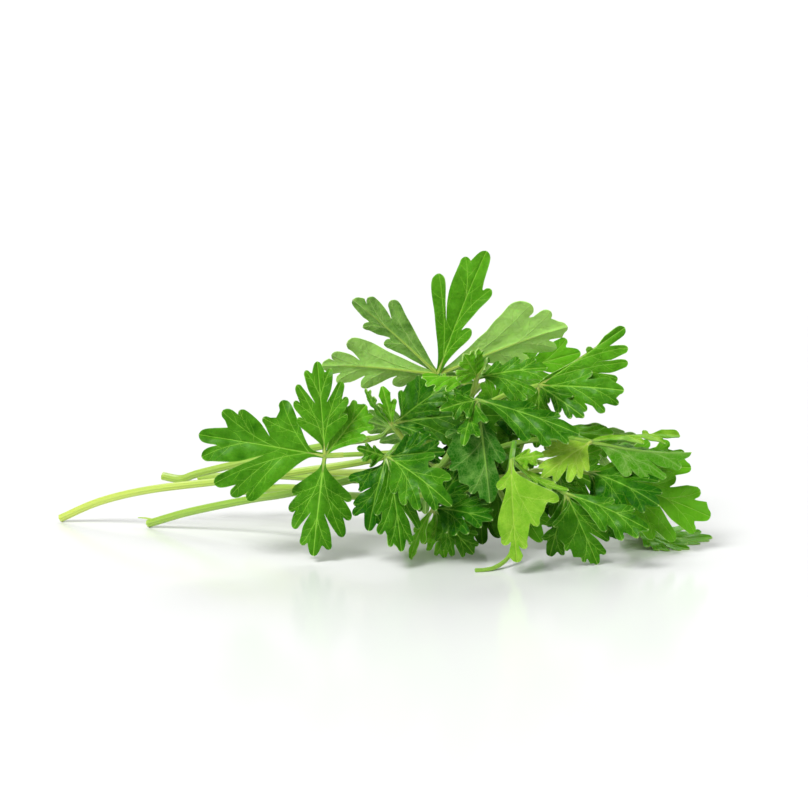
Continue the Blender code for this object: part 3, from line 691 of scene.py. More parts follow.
def write_marks(leaflet, sides, length, width, tone):
    """Writes the attributes of a flat leaflet, whose points are still on its drawing."""
    mesh = leaflet.data
    scale = np.array((length, length * width))
    flat = points_of(leaflet)[:, :2] * scale
    corners = np.empty(len(mesh.loops), int)
    mesh.loops.foreach_get("vertex_index", corners)
    first = np.array([face.loop_start for face in mesh.polygons])
    total = np.array([face.loop_total for face in mesh.polygons])
    owner = np.repeat(np.arange(len(total)), total)
    at = flat[corners]
    middle = np.add.reduceat(at, first) / total[:, None]
    distances = np.full((len(corners), 3), FAR)
    tips, rims = [], []
    for turn, side in ((1, sides[0]), (-1, sides[1])):
        mirror = np.array((1, turn))
        here = middle[:, 1] * turn > 0
        lines = [(points * scale * mirror, thick, thin) for points, thick, thin in VEINS[side]]
        near = np.array([np.abs(distance_to(middle[here], line)[0]) for line, _, _ in lines])
        chosen = near.argsort(axis=0)[:3]
        for slot in range(3):
            nearest = np.full(len(total), -1)
            nearest[here] = chosen[slot]
            for k, (line, thick, thin) in enumerate(lines):
                rows = np.nonzero(nearest[owner] == k)[0]
                if len(rows):
                    gap, share = distance_to(at[rows], line)
                    distances[rows, slot] = gap / (thick + (thin - thick) * share)
        tips += [np.array(tooth[:2]) * scale * mirror for tooth in SIDES[side]]
        rims.append(np.array(half_edge(side)[1:]) * scale * mirror)
    tips.append(np.array((length, 0.0)))
    to_tip = np.sqrt(((flat[:, None] - np.array(tips)) ** 2).sum(2)).min(1)
    to_edge = np.abs([distance_to(flat, rim)[0] for rim in rims]).min(0)
    marks = np.column_stack((to_tip, to_edge, np.full(len(flat), tone)))
    blade = mesh.uv_layers.new(name="blade")
    blade.data.foreach_set("uv", at.ravel())
    keep(leaflet, "veins", np.clip(distances, -FAR, FAR), corner=True)
    keep(leaflet, "marks", marks)


# %% [markdown]
# ## Bending a leaflet into place
#
# A leaflet arches from hub to tip, folds along its midrib, twists a little and droops towards its
# edges, and its edge ripples. All of that is a few sine and parabola terms added up. They are worked
# out for all of its points at once, in mm, and a leaflet that reaches the table lies on it.

# %% How a leaflet bends
TWIST = 0.25  # most turn about its midrib from base to apex, in radians
RIPPLE = (0.05, 0.09)  # height of its waves, as a share of the distance out
WAVES = 8.0  # radians of wave along the leaflet
CURL = (0.1, 0.5)  # how fast its sides droop
LYING = 0.5  # one whose upper side faces up at least this much lies on the table it reaches
BLADE = 0.34  # thickness of a blade, in mm
RUFFLE, RUFFLED_FROM = 0.35, 0.2  # height in mm of small waves, and how far out it is reached
RUFFLES_ALONG, RUFFLES_OUT = 31, 17  # radians of small wave in a leaflet's length


def unit(vector):
    vector = np.asarray(vector, float)
    return vector / np.linalg.norm(vector)


class Leaflet:
    """Where each point of a leaflet's flat drawing lies, in mm."""

    def __init__(self, name, hub, row):
        tip, face, self.right_side, self.left_side, self.width, self.arch, fold = row
        chance = random.Random(name)
        self.base = np.array(hub, float)
        chord = np.array(tip, float) - self.base
        self.length = np.linalg.norm(chord)
        self.ahead = unit(chord)
        face = np.array(face, float)
        self.up = unit(face - self.ahead * face.dot(self.ahead))
        self.right = np.cross(self.ahead, self.up)
        self.fold = math.radians(fold)
        self.twist = chance.uniform(-TWIST, TWIST)
        self.ripple = chance.uniform(*RIPPLE)
        self.phase = chance.uniform(0, 2 * math.pi)
        self.curl = chance.uniform(*CURL)
        self.ruffle = chance.uniform(0, 2 * math.pi)
        self.lies = self.up[2] > LYING

    def place(self, along, out, lift=0.0):
        """The points that far along and out, lifted from the blade by lift."""
        along, out = np.asarray(along, float), np.asarray(out, float)
        wide = np.abs(out) * self.width
        side = np.where(out > 0, 1, -1)
        turn = (self.twist * along)[:, None]
        right = self.right * np.cos(turn) + self.up * np.sin(turn)
        up = self.up * np.cos(turn) - self.right * np.sin(turn)
        arch = 4 * self.arch * along * (1 - along)
        wave = self.ripple * np.sin(self.phase + WAVES * along + side) * wide
        rise = wide * math.sin(self.fold) - self.curl * wide * wide + wave
        small = np.sin(self.ruffle + RUFFLES_ALONG * along + RUFFLES_OUT * out)
        ruffle = RUFFLE * small * np.clip(wide / RUFFLED_FROM, 0, 1)
        here = self.base + (along * self.length)[:, None] * self.ahead
        here = here + (arch * self.length)[:, None] * self.up
        here = here + (side * wide * math.cos(self.fold) * self.length)[:, None] * right
        here = here + (rise * self.length + ruffle + lift)[:, None] * up
        if self.lies:
            here[:, 2] = np.maximum(here[:, 2], BLADE / 2)
        return here


example = Leaflet("front_left 0", FRONDS["front_left"]["hub"], FRONDS["front_left"]["leaflets"][0])
print("the first leaflet of front_left is", round(example.length), "mm long")

# %% [markdown]
# ## A ribbed stalk, modelled once
#
# Parsley stalks aren't round: they have fine ridges all the way up, as celery has. One straight
# stalk of length 1 is modelled from a cylinder. Its long edges are subdivided into rings, and every
# second line of points is drawn in to make the grooves. The cut end is inset, so that the pith can
# sink a little below the skin. Copies of it are then bent along each stem and stalklet.

# %% Two straight stalks to bend
RIDGES, RINGS = 11, 56  # for stems
THIN_RIDGES, THIN_RINGS = 6, 15  # for stalklets and midribs
GROOVE = 0.88  # radius of a groove, beside a ridge's 1
SKIN = 0.16  # how thick the skin round the pith looks at a cut
PITH_WITHIN = GROOVE - 0.06  # points of a cut end within this radius sink


def straight_stalk(name, ridges, rings):
    bpy.ops.object.select_all(action="DESELECT")
    bpy.ops.mesh.primitive_cylinder_add(
        vertices=ridges * 2, radius=1, depth=1, location=(0, 0, 0.5), end_fill_type="NGON"
    )
    stalk = bpy.context.active_object
    stalk.name = stalk.data.name = name
    pick(stalk)
    bpy.ops.object.transform_apply(location=True, rotation=False, scale=False)
    ends = points_of(stalk)
    edit(stalk, lambda edge: abs(ends[edge.vertices[0], 2] - ends[edge.vertices[1], 2]) > 0.5, "EDGE")
    bpy.ops.mesh.subdivide(number_cuts=rings)
    leave_edit()

    def in_groove(point):
        turn = math.atan2(point.co.y, point.co.x) / math.pi * ridges
        return round(turn) % 2 == 1

    edit(stalk, in_groove)
    bpy.ops.transform.resize(value=(GROOVE, GROOVE, 1), center_override=(0, 0, 0))
    leave_edit()
    edit(stalk, lambda face: abs(face.normal.z) > 0.9, "FACE")
    bpy.ops.mesh.inset(thickness=SKIN)
    leave_edit()
    return stalk


STALK = straight_stalk("straight_stalk", RIDGES, RINGS)
STALKLET = straight_stalk("straight_stalklet", THIN_RIDGES, THIN_RINGS)
print("stalk faces:", len(STALK.data.polygons), "stalklet faces:", len(STALKLET.data.polygons))

# %% [markdown]
# To bend a straight stalk, a small cross of two directions is carried along the line and kept square
# to it, so that the ridges don't spin. Each ring of the stalk is then put on its place of the line.
# The attribute "stalk" keeps where a point was on the straight stalk, round it and along it in mm, so
# that streaks in the finish follow the bend.

# %% Bending a stalk along a line
LINE_STEP = 1.5  # mm between the points that a line is measured at
PITH = 0.45  # how deep the pith lies below a cut end, in mm


def frame_along(line):
    """The share of its length that each point of a line is at, and two directions square to it."""
    line = np.asarray(line)
    steps = np.linalg.norm(np.diff(line, axis=0), axis=1)
    shares = np.concatenate(([0], np.cumsum(steps)))
    across, crosses = np.array((0.0, 0.0, 1.0)), []
    for i in range(len(line)):
        ahead = unit(line[min(i + 1, len(line) - 1)] - line[max(i - 1, 0)])
        across = unit(across - ahead * across.dot(ahead))
        crosses.append((across, np.cross(ahead, across), ahead))
    return shares / shares[-1], np.array(crosses), shares[-1]


def bend_along(straight, name, line, radius, cut=False, tone=0.0):
    """A copy of a straight stalk along a line in mm. radius(share) is its radius there."""
    stalk = copy_of(straight, name)
    rows = points_of(stalk)
    shares, crosses, length = frame_along(line)
    at = np.clip(rows[:, 2], 0, 1)
    line = np.asarray(line)

    def along(values):
        return np.column_stack([np.interp(at, shares, values[:, k]) for k in range(3)])

    centre, across, other, ahead = along(line), *(along(crosses[:, k]) for k in range(3))
    wide = radius(at)[:, None]
    bent = centre + (across * rows[:, :1] + other * rows[:, 1:2]) * wide
    if cut:
        inner = (rows[:, 2] < SEWN) & (np.hypot(rows[:, 0], rows[:, 1]) < PITH_WITHIN)
        bent[inner] += ahead[inner] * PITH
    set_points(stalk, in_metres(bent))
    keep(stalk, "stalk", rows * (1, 1, length))
    keep(stalk, "marks", np.column_stack((np.zeros(len(rows)), at, np.full(len(rows), tone))))
    return stalk


# %% [markdown]
# ## Finishes
#
# A finish is a small network of shader nodes. Drawing it as a sum is easier to read than wiring it
# one node at a time, so the next class wraps one output of a node. Writing `1 - vein` then adds the
# Math node that works it out. Numbers that don't change over the surface stay plain Python.

# %% Sums that become nodes


class Wire:
    """A number or colour that changes over a surface: one output of a node in a finish."""

    def __init__(self, finish, socket):
        self.finish, self.socket = finish, socket

    def maths(self, operation, a, b=0.0, clamp=False):
        settings = {"operation": operation, "use_clamp": clamp}
        return self.finish.node("ShaderNodeMath", settings, {0: a, 1: b})

    def __add__(self, other):
        return self.maths("ADD", self, other)

    __radd__ = __add__

    def __sub__(self, other):
        return self.maths("SUBTRACT", self, other)

    def __rsub__(self, other):
        return self.maths("SUBTRACT", other, self)

    def __mul__(self, other):
        return self.maths("MULTIPLY", self, other)

    __rmul__ = __mul__

    def __truediv__(self, other):
        return self.maths("DIVIDE", self, other)

    def __abs__(self):
        return self.maths("ABSOLUTE", self)

    def least(self, other):
        return self.maths("MINIMUM", self, other)

    def most(self, other):
        return self.maths("MAXIMUM", self, other)

    def held(self):
        """Kept between 0 and 1."""
        return self.maths("ADD", self, 0.0, clamp=True)


# %% [markdown]
# A finish itself is a material with one way to add a node: its type, its settings and what goes into
# its sockets. The rest are short names for the few nodes that a plant needs.

# %% A finish, node by node


class Finish:
    """A material that is built up node by node."""

    def __init__(self, name):
        self.material = bpy.data.materials.new(name)
        self.material.use_nodes = True
        self.tree = self.material.node_tree
        self.tree.nodes.clear()

    def node(self, kind, settings=None, sockets=None, out=0):
        """Adds a node, makes its settings first, then fills its sockets. Gives one of its outputs."""
        made = self.tree.nodes.new(kind)
        for key, value in (settings or {}).items():
            setattr(made, key, value)
        for key, value in (sockets or {}).items():
            if isinstance(value, Wire):
                self.tree.links.new(value.socket, made.inputs[key])
            else:
                made.inputs[key].default_value = value
        return Wire(self, made.outputs[out]) if made.outputs else None

    def mix(self, factor, a, b):
        """Colour a where factor is 0 and b where it is 1."""
        a, b = (c if isinstance(c, Wire) else (*c, 1.0) for c in (a, b))
        return self.node("ShaderNodeMix", {"data_type": "RGBA"}, {0: factor, 6: a, 7: b}, out=2)

    def split(self, vector):
        """The three numbers of a vector."""
        return [self.node("ShaderNodeSeparateXYZ", None, {0: vector}, out=k) for k in range(3)]

    def parts(self, name):
        """The three numbers of an attribute."""
        return self.split(self.node("ShaderNodeAttribute", {"attribute_name": name}, out="Vector"))

    def vector(self, x, y, z):
        return self.node("ShaderNodeCombineXYZ", None, {0: x, 1: y, 2: z})

    def noise(self, vector, scale, detail=2.0):
        sockets = {"Vector": vector, "Scale": scale, "Detail": detail}
        return self.node("ShaderNodeTexNoise", None, sockets)

    def bump(self, height):
        """A normal that follows a height in mm."""
        return self.node("ShaderNodeBump", None, {"Distance": MM, "Height": height})

    def surface(self, **sockets):
        """Ends the finish in one surface shader. Underscores in names stand for spaces."""
        named = {key.replace("_", " "): value for key, value in sockets.items()}
        shader = self.node("ShaderNodeBsdfPrincipled", None, named)
        self.node("ShaderNodeOutputMaterial", None, {"Surface": shader})
        print("finish", self.material.name, "has", len(self.tree.nodes), "nodes")
        return self.material


# %% [markdown]
# The upper side of a parsley leaflet is deep green with a satin shine, and its veins are sunk and
# pale. The under side is dull and greyer, because of a thin layer of wax and air, and its veins
# stand out. Both let light through, which is where much of the fresh green comes from, so light
# scatters below the surface. Young leaflets are yellower. One function makes all four finishes, and
# what differs is passed in. Where the bunch is dense the leaves keep the light from each other, so
# painted shade darkens the green inside an ellipsoid there.

# %% The finish of a blade
PALE_TIP = (0.50, 0.66, 0.26)
THROUGH = 0.00028  # how far light goes inside a blade before it scatters, in metres
# painted shade: the green darkens inside this ellipsoid, where the bunch is dense
HEART_AT, HEART_SIZE = (0.024, 0.010, 0.022), (0.052, 0.030, 0.040)  # where the bunch is dense
PAINTED_SHADE_GREEN, HEART_SHADE = (0.001, 0.022, 0.001), 0.85
PATCHES_PER_M, BLOTCHES_PER_MM = 55.0, 0.22  # how fine the changes of green are
APART = 40  # mm between the patterns of a dark and a light leaflet, so that few look alike


# how deep the painted shade of the bunch's heart is at a point
def painted_shade_depth(f, where):
    """Rises from 0 at the edge of an ellipsoid to 1 in its middle."""
    off = [(part - at) * (1 / size) for part, at, size in zip(f.split(where), HEART_AT, HEART_SIZE)]
    return (1 - (off[0] * off[0] + off[1] * off[1] + off[2] * off[2])).held()


def blade_finish(name, deep, fresh, vein_colour, vein_show, relief, roughness, coat):
    """vein_show is how much of the veins' colour shows, and relief how far they stand out, in mm."""
    f = Finish(name)
    u, v, _ = f.split(f.node("ShaderNodeUVMap", {"uv_map": "blade"}))
    to_tip, to_edge, tone = f.parts("marks")
    a, b, c = (abs(part) for part in f.parts("veins"))
    gap = a.least(b).least(c)
    where = f.node("ShaderNodeTexCoord", out="Object")
    flat = f.vector(u, v, tone * APART)

    # veins: thin lines, a midrib that tapers, and a lighter band beside both
    line = (1.35 - gap).held()
    rib_width = (0.34 - u * 0.006).most(0.11)
    midrib = (1.4 - abs(v) / rib_width).held()
    veined = (line * vein_show).most(midrib * min(1.0, vein_show * 1.25))
    beside = (1 - gap * 0.16).held().most((1 - abs(v) * 0.8).held())

    # the green: patches across the bunch, blotches on a blade, and the net between the veins
    broad = f.noise(where, PATCHES_PER_M)
    blotch = f.noise(flat, BLOTCHES_PER_MM, 3.0)
    cells = {"Vector": flat, "Scale": 0.85, "Randomness": 0.9}
    net = f.node("ShaderNodeTexVoronoi", {"feature": "DISTANCE_TO_EDGE"}, cells)
    pillow = f.node("ShaderNodeTexVoronoi", {"feature": "SMOOTH_F1"}, {**cells, "Smoothness": 0.6})
    fresher = (tone + (broad - 0.5) * 0.5 + (blotch - 0.5) * 0.8).held()
    green = f.mix(fresher, deep, fresh)
    lighter = f.mix((fresher + 0.35).held(), deep, fresh)
    green = f.mix((1 - net * 9).held() * 0.30, green, lighter)
    green = f.mix(beside * 0.45, green, lighter)
    dull_vein = tuple(0.6 * d + 0.4 * v for d, v in zip(deep, vein_colour))
    vein_colour = f.mix((fresher * 2.2 + 0.1).held(), dull_vein, vein_colour)
    green = f.mix(veined, green, vein_colour)

    # a thin pale rim and a pale point on each tooth, and painted shade in the heart of the bunch
    green = f.mix((1 - to_edge * 2.6).held() * (blotch * 0.9 - 0.3).held(), green, vein_colour)
    green = f.mix((1.25 - to_tip * 2.3).held() * 0.75, green, PALE_TIP)
    green = f.mix(painted_shade_depth(f, where) * HEART_SHADE, green, PAINTED_SHADE_GREEN)

    # veins that sink in or stand out, and small pillows between them
    sunk = (1 - gap * 0.30).held()
    sunk = (sunk * sunk).most((1 - abs(v) * 1.6).held())
    height = sunk * relief - pillow * 0.22 + f.noise(flat, 2.6, 2.0) * 0.05
    return f.surface(
        Base_Color=green,
        Roughness=(blotch - 0.5) * 0.18 + roughness - veined * 0.06,
        Specular_IOR_Level=0.03,
        Subsurface_Weight=0.85,
        Subsurface_Radius=(0.7, 1.0, 0.35),
        Subsurface_Scale=THROUGH,
        Coat_Weight=((blotch - 0.45) * 3).held() * coat if coat else 0.0,
        Coat_Roughness=0.28,
        Normal=f.bump(height),
    )


LEAF = {
    "upper": blade_finish(
        "leaf_upper", (0.008, 0.09, 0.001), (0.125, 0.40, 0.012), (0.27, 0.54, 0.06),
        vein_show=0.74, relief=-0.14, roughness=0.42, coat=0.22,
    ),
    "under": blade_finish(
        "leaf_under", (0.015, 0.12, 0.002), (0.38, 0.65, 0.15), (0.44, 0.66, 0.19),
        vein_show=0.55, relief=0.20, roughness=0.58, coat=0.0,
    ),
}
YOUNG = {
    "upper": blade_finish(
        "young_upper", (0.10, 0.30, 0.005), (0.42, 0.66, 0.07), (0.50, 0.70, 0.13),
        vein_show=0.45, relief=-0.14, roughness=0.44, coat=0.10,
    ),
    "under": blade_finish(
        "young_under", (0.06, 0.24, 0.004), (0.46, 0.66, 0.20), (0.52, 0.70, 0.26),
        vein_show=0.4, relief=0.16, roughness=0.58, coat=0.0,
    ),
}

# %% [markdown]
# A stalk is pale and a little yellow where it was cut, and greener towards the leaves. Its ridges
# are lighter than its grooves, and streaks run along it. At the cut the pith shows, nearly white.

# %% The finish of a stalk


def stalk_finish():
    f = Finish("stalk")
    x, y, along = f.parts("stalk")
    _, share, tone = f.parts("marks")
    from_axis = x * x + y * y  # squared
    ridge = ((from_axis - GROOVE * GROOVE) / (1 - GROOVE * GROOVE)).held()
    streaks = f.noise(f.vector(x * 3.2, y * 3.2, along * 0.035), 1.0, 3.0)
    patches = f.noise(f.node("ShaderNodeTexCoord", out="Object"), 40.0)
    greener = (share * 0.75 + (patches - 0.5) * 0.5 + (streaks - 0.5) * 0.5).held()
    colour = f.mix(greener, (0.48, 0.58, 0.095), (0.22, 0.44, 0.03))
    colour = f.mix(ridge * 0.35, colour, (0.50, 0.62, 0.16))
    colour = f.mix(tone, colour, (0.05, 0.28, 0.006))
    colour = f.mix((streaks * 2.6 - 1.55).held() * 0.5, colour, (0.20, 0.42, 0.04))
    pith = (1 - along * 2.5).held() * (1 - (from_axis - 0.62) * 8).held()
    colour = f.mix(pith * 0.8, colour, (0.74, 0.76, 0.46))
    height = ridge * 0.05 + streaks * 0.10
    return f.surface(
        Base_Color=colour,
        Roughness=(streaks - 0.5) * 0.2 + 0.4,
        Specular_IOR_Level=0.45,
        Subsurface_Weight=0.6,
        Subsurface_Radius=(1.0, 1.0, 0.4),
        Subsurface_Scale=0.0008,
        Coat_Weight=0.1,
        Coat_Roughness=0.2,
        Normal=f.bump(height),
    )


STALK_FINISH = stalk_finish()

# %% [markdown]
# ## The fronds
#
# Each leaflet is a flat blade that is bent into place and given its thickness, with the upper finish
# on one side and the under finish on the other. Along its under side runs the midrib, which is a thin
# stalklet that tapers off towards the apex, and at the hub all midribs meet the frond's own
# stalklet. The blade is creased along its main veins and swells between them, which breaks up the
# light on it. The tone of each leaflet says how light it is, from 0 for the darkest: partly its own
# green, darker for an older one, and partly painted light and shade for where it lies in the bunch.

# %% Blades
# each tone is partly a leaflet's own green and partly painted light and shade for where it lies
TONES = {
    "front_left": (0.41, 0.46, 0.30, 0.69),
    "front_middle": (0.03, 0.21, 0.26, 0.22, 0.00),
    "front_upright": (0.42, 0.87, 0.00),
    "middle_shaded": (0.16, 0.25),
    "inner_low": (0.32, 0.50, 1.00),
    "top": (0.36, 0.84, 0.52, 1.00),
    "centre_front": (0.00, 0.15, 0.21, 0.23),
    "centre_upper": (0.40, 0.34, 0.79, 1.00),
    "right_upper": (0.54, 0.39, 0.19, 0.40, 0.50),
    "right_middle": (0.00, 0.53, 0.13),
    "right_lower": (0.06, 1.00, 1.00, 0.08),
    "right_foot": (0.34, 0.25, 0.23),
    "bright_front": (0.26, 0.00, 0.00),
    "low_left": (0.00, 1.00, 1.00, 0.25, 0.00),
    "right_ground": (1.00, 1.00, 0.80),
    "heart": (0.10, 0.98, 1.00, 0.05),
    "middle_right": (0.49, 0.45, 1.00, 0.08),
    "back_upper": (0.79, 0.44, 0.40),
    "back_right": (0.56, 0.40, 1.00),
    "back_left": (0.40, 0.46, 0.25, 0.01, 0.05),
}
MAIN_VEIN = 0.12  # half width in mm from which a vein creases the blade
SWELLING, SWELLS_WITHIN = 0.75, 1.7  # how high the blade stands between creases, and how soon, in mm


def greener(tone, most):
    """How much green a rib or stalklet has: dark leaflets have greener ones, so it follows their painted
    light and shade too.
    """
    return min(max(0.85 - 1.6 * tone, 0.2), most)


def swelling(flat, sides, length, width):
    """How far each point of a flat leaflet rises between its main veins, in mm."""
    scale = np.array((length, length * width))
    points = flat[:, :2] * scale
    gap = np.abs(points[:, 1])
    for turn, side in ((1, sides[0]), (-1, sides[1])):
        here = np.nonzero(points[:, 1] * turn > 0)[0]
        for line, thick, _ in VEINS[side]:
            if thick >= MAIN_VEIN and len(here):
                apart = np.abs(distance_to(points[here], line * scale * (1, turn))[0])
                gap[here] = np.minimum(gap[here], apart)
    return SWELLING * (1 - np.exp(-gap / SWELLS_WITHIN))


def blade_piece(name, leaflet, tone, finishes):
    """A leaflet's blade, bent into place. finishes are for its upper side, its under side and stalks."""
    blade = flat_leaflet(name, leaflet.right_side, leaflet.left_side)
    sides = (leaflet.right_side, leaflet.left_side)
    write_marks(blade, sides, leaflet.length, leaflet.width, tone)
    flat = points_of(blade)
    lift = swelling(flat, sides, leaflet.length, leaflet.width)
    set_points(blade, in_metres(leaflet.place(flat[:, 0], flat[:, 1], lift)))
    edit(blade)
    bpy.ops.mesh.flip_normals()
    leave_edit()
    for finish in finishes:
        blade.data.materials.append(finish)
    skin = blade.modifiers.new("thickness", "SOLIDIFY")
    skin.thickness, skin.offset = BLADE * MM, 0.0
    skin.material_offset = skin.material_offset_rim = 1
    pick(blade)
    bpy.ops.object.modifier_apply(modifier=skin.name)
    return blade


print("leaflets with a tone:", sum(len(tones) for tones in TONES.values()))

# %% [markdown]
# The midrib and the frond's own stalklet are copies of the thin straight stalk. The midrib hangs a
# little below the blade, and sinks into it before the apex. Blades, midribs and stalklet are then
# joined, and what would reach below the table is pressed flat on it.

# %% Midribs, hubs and whole fronds
STALKLET_RADIUS, HUB_RADIUS, STUB = 0.95, 0.85, 6.0
STUB_AT, STUB_RADII = (0, 0.8, 0.93, 1), (STALKLET_RADIUS, 0.95, 0.9, 0.35)
REACHES_BACK = 0.35  # mm that it reaches back, over the gap and just into the stalk it grew from
MIDRIB_END = 0.86  # share of the leaflet where its midrib sinks into the blade
MIDRIB_AT, MIDRIB_RADII = (0, 0.18, 0.5, 1), (0.8, 0.52, 0.32, 0.15)
MIDRIB_POINTS = 24
DROPS_FROM, DROPS_OVER = 0.04, 0.14  # the share where a midrib leaves the blade, and over how much
SMOOTH_ANGLE = math.radians(38)


def midrib_piece(name, leaflet, tone):
    """The rib that runs along the under side of a leaflet."""
    shares = np.linspace(0, MIDRIB_END, MIDRIB_POINTS)
    thick = np.interp(shares / MIDRIB_END, MIDRIB_AT, MIDRIB_RADII)
    below = (thick - BLADE * 0.3) * np.clip((shares - DROPS_FROM) / DROPS_OVER, 0, 1)
    line = leaflet.place(shares, np.zeros(len(shares)), -below)
    return bend_along(
        STALKLET, name, line, lambda share: np.interp(share, MIDRIB_AT, MIDRIB_RADII),
        tone=greener(tone, 0.6),
    )


def as_stalk(piece, finishes):
    """Gives a part of a frond the same finishes as its blades, and paints it with the last of them."""
    for finish in finishes:
        piece.data.materials.append(finish)
    for face in piece.data.polygons:
        face.material_index = len(finishes) - 1
    return piece


def frond_piece(name, plan):
    hub = np.array(plan["hub"], float)
    way = unit(plan["from"])
    finishes = (*(YOUNG if plan["young"] else LEAF).values(), STALK_FINISH)
    root, inner = hub + way * (STUB + REACHES_BACK), hub - way * HUB_RADIUS * 0.6
    stub = bend_along(
        STALKLET, name, smooth_curve([root, hub + way * STUB * 0.5, hub, inner], LINE_STEP),
        lambda share: np.interp(share, STUB_AT, STUB_RADII), tone=greener(np.mean(TONES[name]), 0.7),
    )
    parts = [as_stalk(stub, finishes)]
    for i, (row, tone) in enumerate(zip(plan["leaflets"], TONES[name])):
        leaflet = Leaflet(f"{name} {i}", hub, row)
        parts.append(blade_piece(f"{name}_{i}", leaflet, tone, finishes))
        parts.append(as_stalk(midrib_piece(f"{name}_{i}_rib", leaflet, tone), finishes))
    return joined("leaves_" + name, *parts)


def joined(name, *parts):
    """Joins the parts into one piece, presses it flat where it meets the table, and shades it."""
    pick(*parts)
    bpy.ops.object.join()
    piece = parts[0]
    piece.name = piece.data.name = name
    rows = points_of(piece)
    rows[:, 2] = np.maximum(rows[:, 2], 0)
    set_points(piece, rows)
    pick(piece)
    bpy.ops.object.shade_smooth_by_angle(angle=SMOOTH_ANGLE)
    return piece


for name, plan in FRONDS.items():
    piece = frond_piece(name, plan)
    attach(piece, "root")
    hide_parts("frond_" + name)
    print(piece.name, len(piece.data.polygons), "faces")

# %% [markdown]
# ## The stalks
#
# A stem tapers from its cut end to its last fork. Each stalklet starts a little way back inside the
# stem, leaves in the direction the stem runs, and arrives in line with its frond. It is slightly
# swollen where it leaves, as a real fork is. On one stem a thin strip of skin tore off at the cut.

# %% Stems and stalklets
STEM_RADIUS, FORK_RADIUS, BARE_END_RADIUS = 1.5, 1.25, 0.75
GAP, ROOTED = 0.3, 2.0  # mm between a stalklet and its frond, and mm of stalklet inside the stem
LEAVES_STRAIGHT, ARRIVES_STRAIGHT, SHORT_SHARE = 6.0, 5.0, 0.3  # mm, and at most this share of it
SWOLLEN_AT, SWOLLEN = (0, 0.12, 0.35, 1), (1.28, 1.2, 1, 1)  # a stalklet is thicker where it leaves
STEM_TONES, BARE_TONE = {"front": 0.45, "bent": 0.30, "inner": 0.35, "low": 0.35}, 0.4
TORN = {"front": ((-84.5, 21.0, 2.7), (-88.0, 22.4, 3.3), (-90.8, 23.4, 3.2))}
TORN_RADII = (0.55, 0.15)


def at_share(line, share):
    """The point at this share of a line's length, and the way the line runs there."""
    shares, crosses, _ = frame_along(line)
    line = np.asarray(line)
    point = np.array([np.interp(share, shares, line[:, k]) for k in range(3)])
    return point, crosses[min(np.searchsorted(shares, share), len(line) - 1), 2]


def stalklet_line(start, way, via, root, arrives):
    reach = np.linalg.norm(root - start)
    first = start + way * min(LEAVES_STRAIGHT, reach * SHORT_SHARE)
    last = root - arrives * min(ARRIVES_STRAIGHT, reach * SHORT_SHARE)
    return smooth_curve([start - way * ROOTED, start, first, *via, last, root], LINE_STEP)


def stalk_piece(name, plan):
    line = smooth_curve(plan["route"], LINE_STEP)
    stem = bend_along(
        STALK, name, line, lambda share: STEM_RADIUS + (FORK_RADIUS - STEM_RADIUS) * share,
        cut=True, tone=STEM_TONES.get(name, 0.0),
    )
    branches = []
    for share, points in plan.get("bare", ()):
        start, way = at_share(line, share)
        run = smooth_curve([start - way * ROOTED, start, *points], LINE_STEP)
        branches.append(bend_along(
            STALKLET, name + "_bare", run,
            lambda share: STALKLET_RADIUS + (BARE_END_RADIUS - STALKLET_RADIUS) * share, tone=BARE_TONE,
        ))
    for frond, share, via in plan["fronds"]:
        start, way = at_share(line, share)
        towards = unit(FRONDS[frond]["from"])
        root = np.array(FRONDS[frond]["hub"]) + towards * (STUB + GAP)
        run = stalklet_line(start, way, via, root, -towards)
        branches.append(bend_along(
            STALKLET, f"{name}_{frond}", run,
            lambda share: STALKLET_RADIUS * np.interp(share, SWOLLEN_AT, SWOLLEN),
            tone=greener(np.mean(TONES[frond]), 0.75),
        ))
    if name in TORN:
        strip = smooth_curve(TORN[name], LINE_STEP)
        branches.append(bend_along(
            STALKLET, name + "_strip", strip, lambda share: np.interp(share, (0, 1), TORN_RADII)
        ))
    for part in (stem, *branches):
        part.data.materials.append(STALK_FINISH)
    return joined("stem_" + name, stem, *branches)


for name, plan in STALKS.items():
    piece = stalk_piece(name, plan)
    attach(piece, "root")
    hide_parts("stalk_" + name)
    print(piece.name, len(piece.data.polygons), "faces")

# the straight stalks and half blades were only there to be copied
for straight in (STALK, STALKLET, *HALVES.values()):
    bpy.data.objects.remove(straight)

# %% [markdown]
# ## Table and light
#
# Herbs are shown on a plain white table that shines a little, so that a faint reflection shows where
# the leaves touch it. The room is white and brightest near the horizon. Two suns light the bunch: the
# main one from the upper left gives the upper sides their satin shine, and a weaker one from behind
# shines through the leaves. A sun that looks wide gives soft shadows.

# %% A white table
TABLE_SIZE = 60.0
JUST_BELOW = 0.00001  # metres from the leaves down to the table, so that the two don't coincide


def table_finish():
    f = Finish("table_white")
    mottle = f.noise(f.node("ShaderNodeTexCoord", out="Object"), 3.0)
    return f.surface(
        Base_Color=f.mix(mottle, (0.81, 0.82, 0.81), (0.84, 0.84, 0.84)),
        Roughness=mottle * 0.06 + 0.12,
        Specular_IOR_Level=0.40,
    )


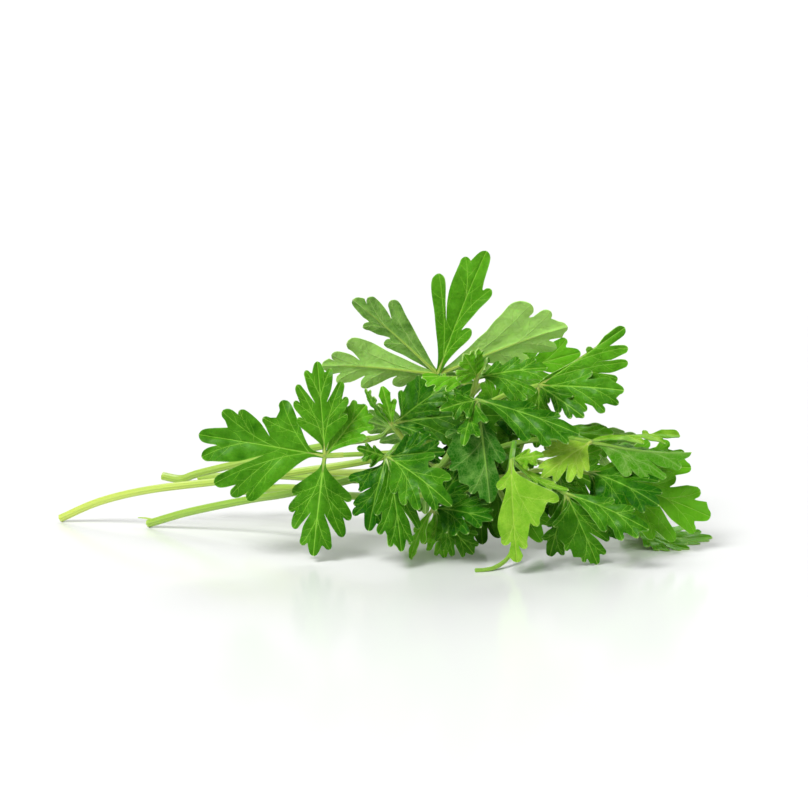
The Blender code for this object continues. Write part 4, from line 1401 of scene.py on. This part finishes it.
bpy.ops.object.select_all(action="DESELECT")
bpy.ops.mesh.primitive_grid_add(x_subdivisions=2, y_subdivisions=2, size=TABLE_SIZE)
table = bpy.context.active_object
table.name = table.data.name = "table"
set_points(table, points_of(table) - np.array((0, 0, JUST_BELOW)))
table.data.materials.append(table_finish())
print("table:", TABLE_SIZE, "m wide")

# %% Soft studio light


def sun(name, place, strength, softness):
    """Even light from this direction over the whole table. softness is how wide its source looks."""
    bpy.ops.object.light_add(type="SUN", location=place)
    light = bpy.context.active_object
    light.name = name
    light.data.energy, light.data.angle = strength, math.radians(softness)
    light.rotation_euler = (-Vector(place)).to_track_quat("-Z", "Y").to_euler()
    return light


HORIZON_GLOW, CEILING_GLOW = 1.15, 0.42
CEILING_FROM = 0.30  # how high above the horizon the ceiling starts, as the sine of the angle

room = bpy.data.worlds.new("white_room")
room.use_nodes = True
tree = room.node_tree
walls, glow = tree.nodes["Background"], tree.nodes.new("ShaderNodeMapRange")
walls.inputs["Color"].default_value = (1.0, 1.0, 1.0, 1.0)
for socket, value in (("From Max", CEILING_FROM), ("To Min", HORIZON_GLOW), ("To Max", CEILING_GLOW)):
    glow.inputs[socket].default_value = value
direction, height = tree.nodes.new("ShaderNodeTexCoord"), tree.nodes.new("ShaderNodeSeparateXYZ")
tree.links.new(direction.outputs["Generated"], height.inputs[0])
tree.links.new(height.outputs["Z"], glow.inputs["Value"])
tree.links.new(glow.outputs[0], walls.inputs["Strength"])
bpy.context.scene.world = room
sun("main_light", (-0.5, -0.8, 1.0), 3.3, 24)
sun("back_light", (0.3, 0.9, 0.8), 1.2, 30)
bpy.context.scene.view_settings.view_transform = "Standard"

# %% [markdown]
# ## The camera
#
# The camera looks at the bunch from the front, ten degrees above the table.

# %% Camera
STANDS_AT, LOOKS_AT = (0.0084, -0.8723, 0.2056), (0.0084, 0.0140, 0.0493)
LENS, SENSOR = 112.955, 36.0  # in mm

bpy.ops.object.camera_add(location=STANDS_AT)
camera = bpy.context.active_object
camera.name = "camera"
aim = Vector(LOOKS_AT) - camera.location
camera.rotation_euler = aim.to_track_quat("-Z", "Y").to_euler()
camera.data.lens, camera.data.sensor_width, camera.data.clip_start = LENS, SENSOR, 0.01
bpy.context.scene.camera = camera
print("camera:", round(aim.length, 3), "m from the middle of the bunch")
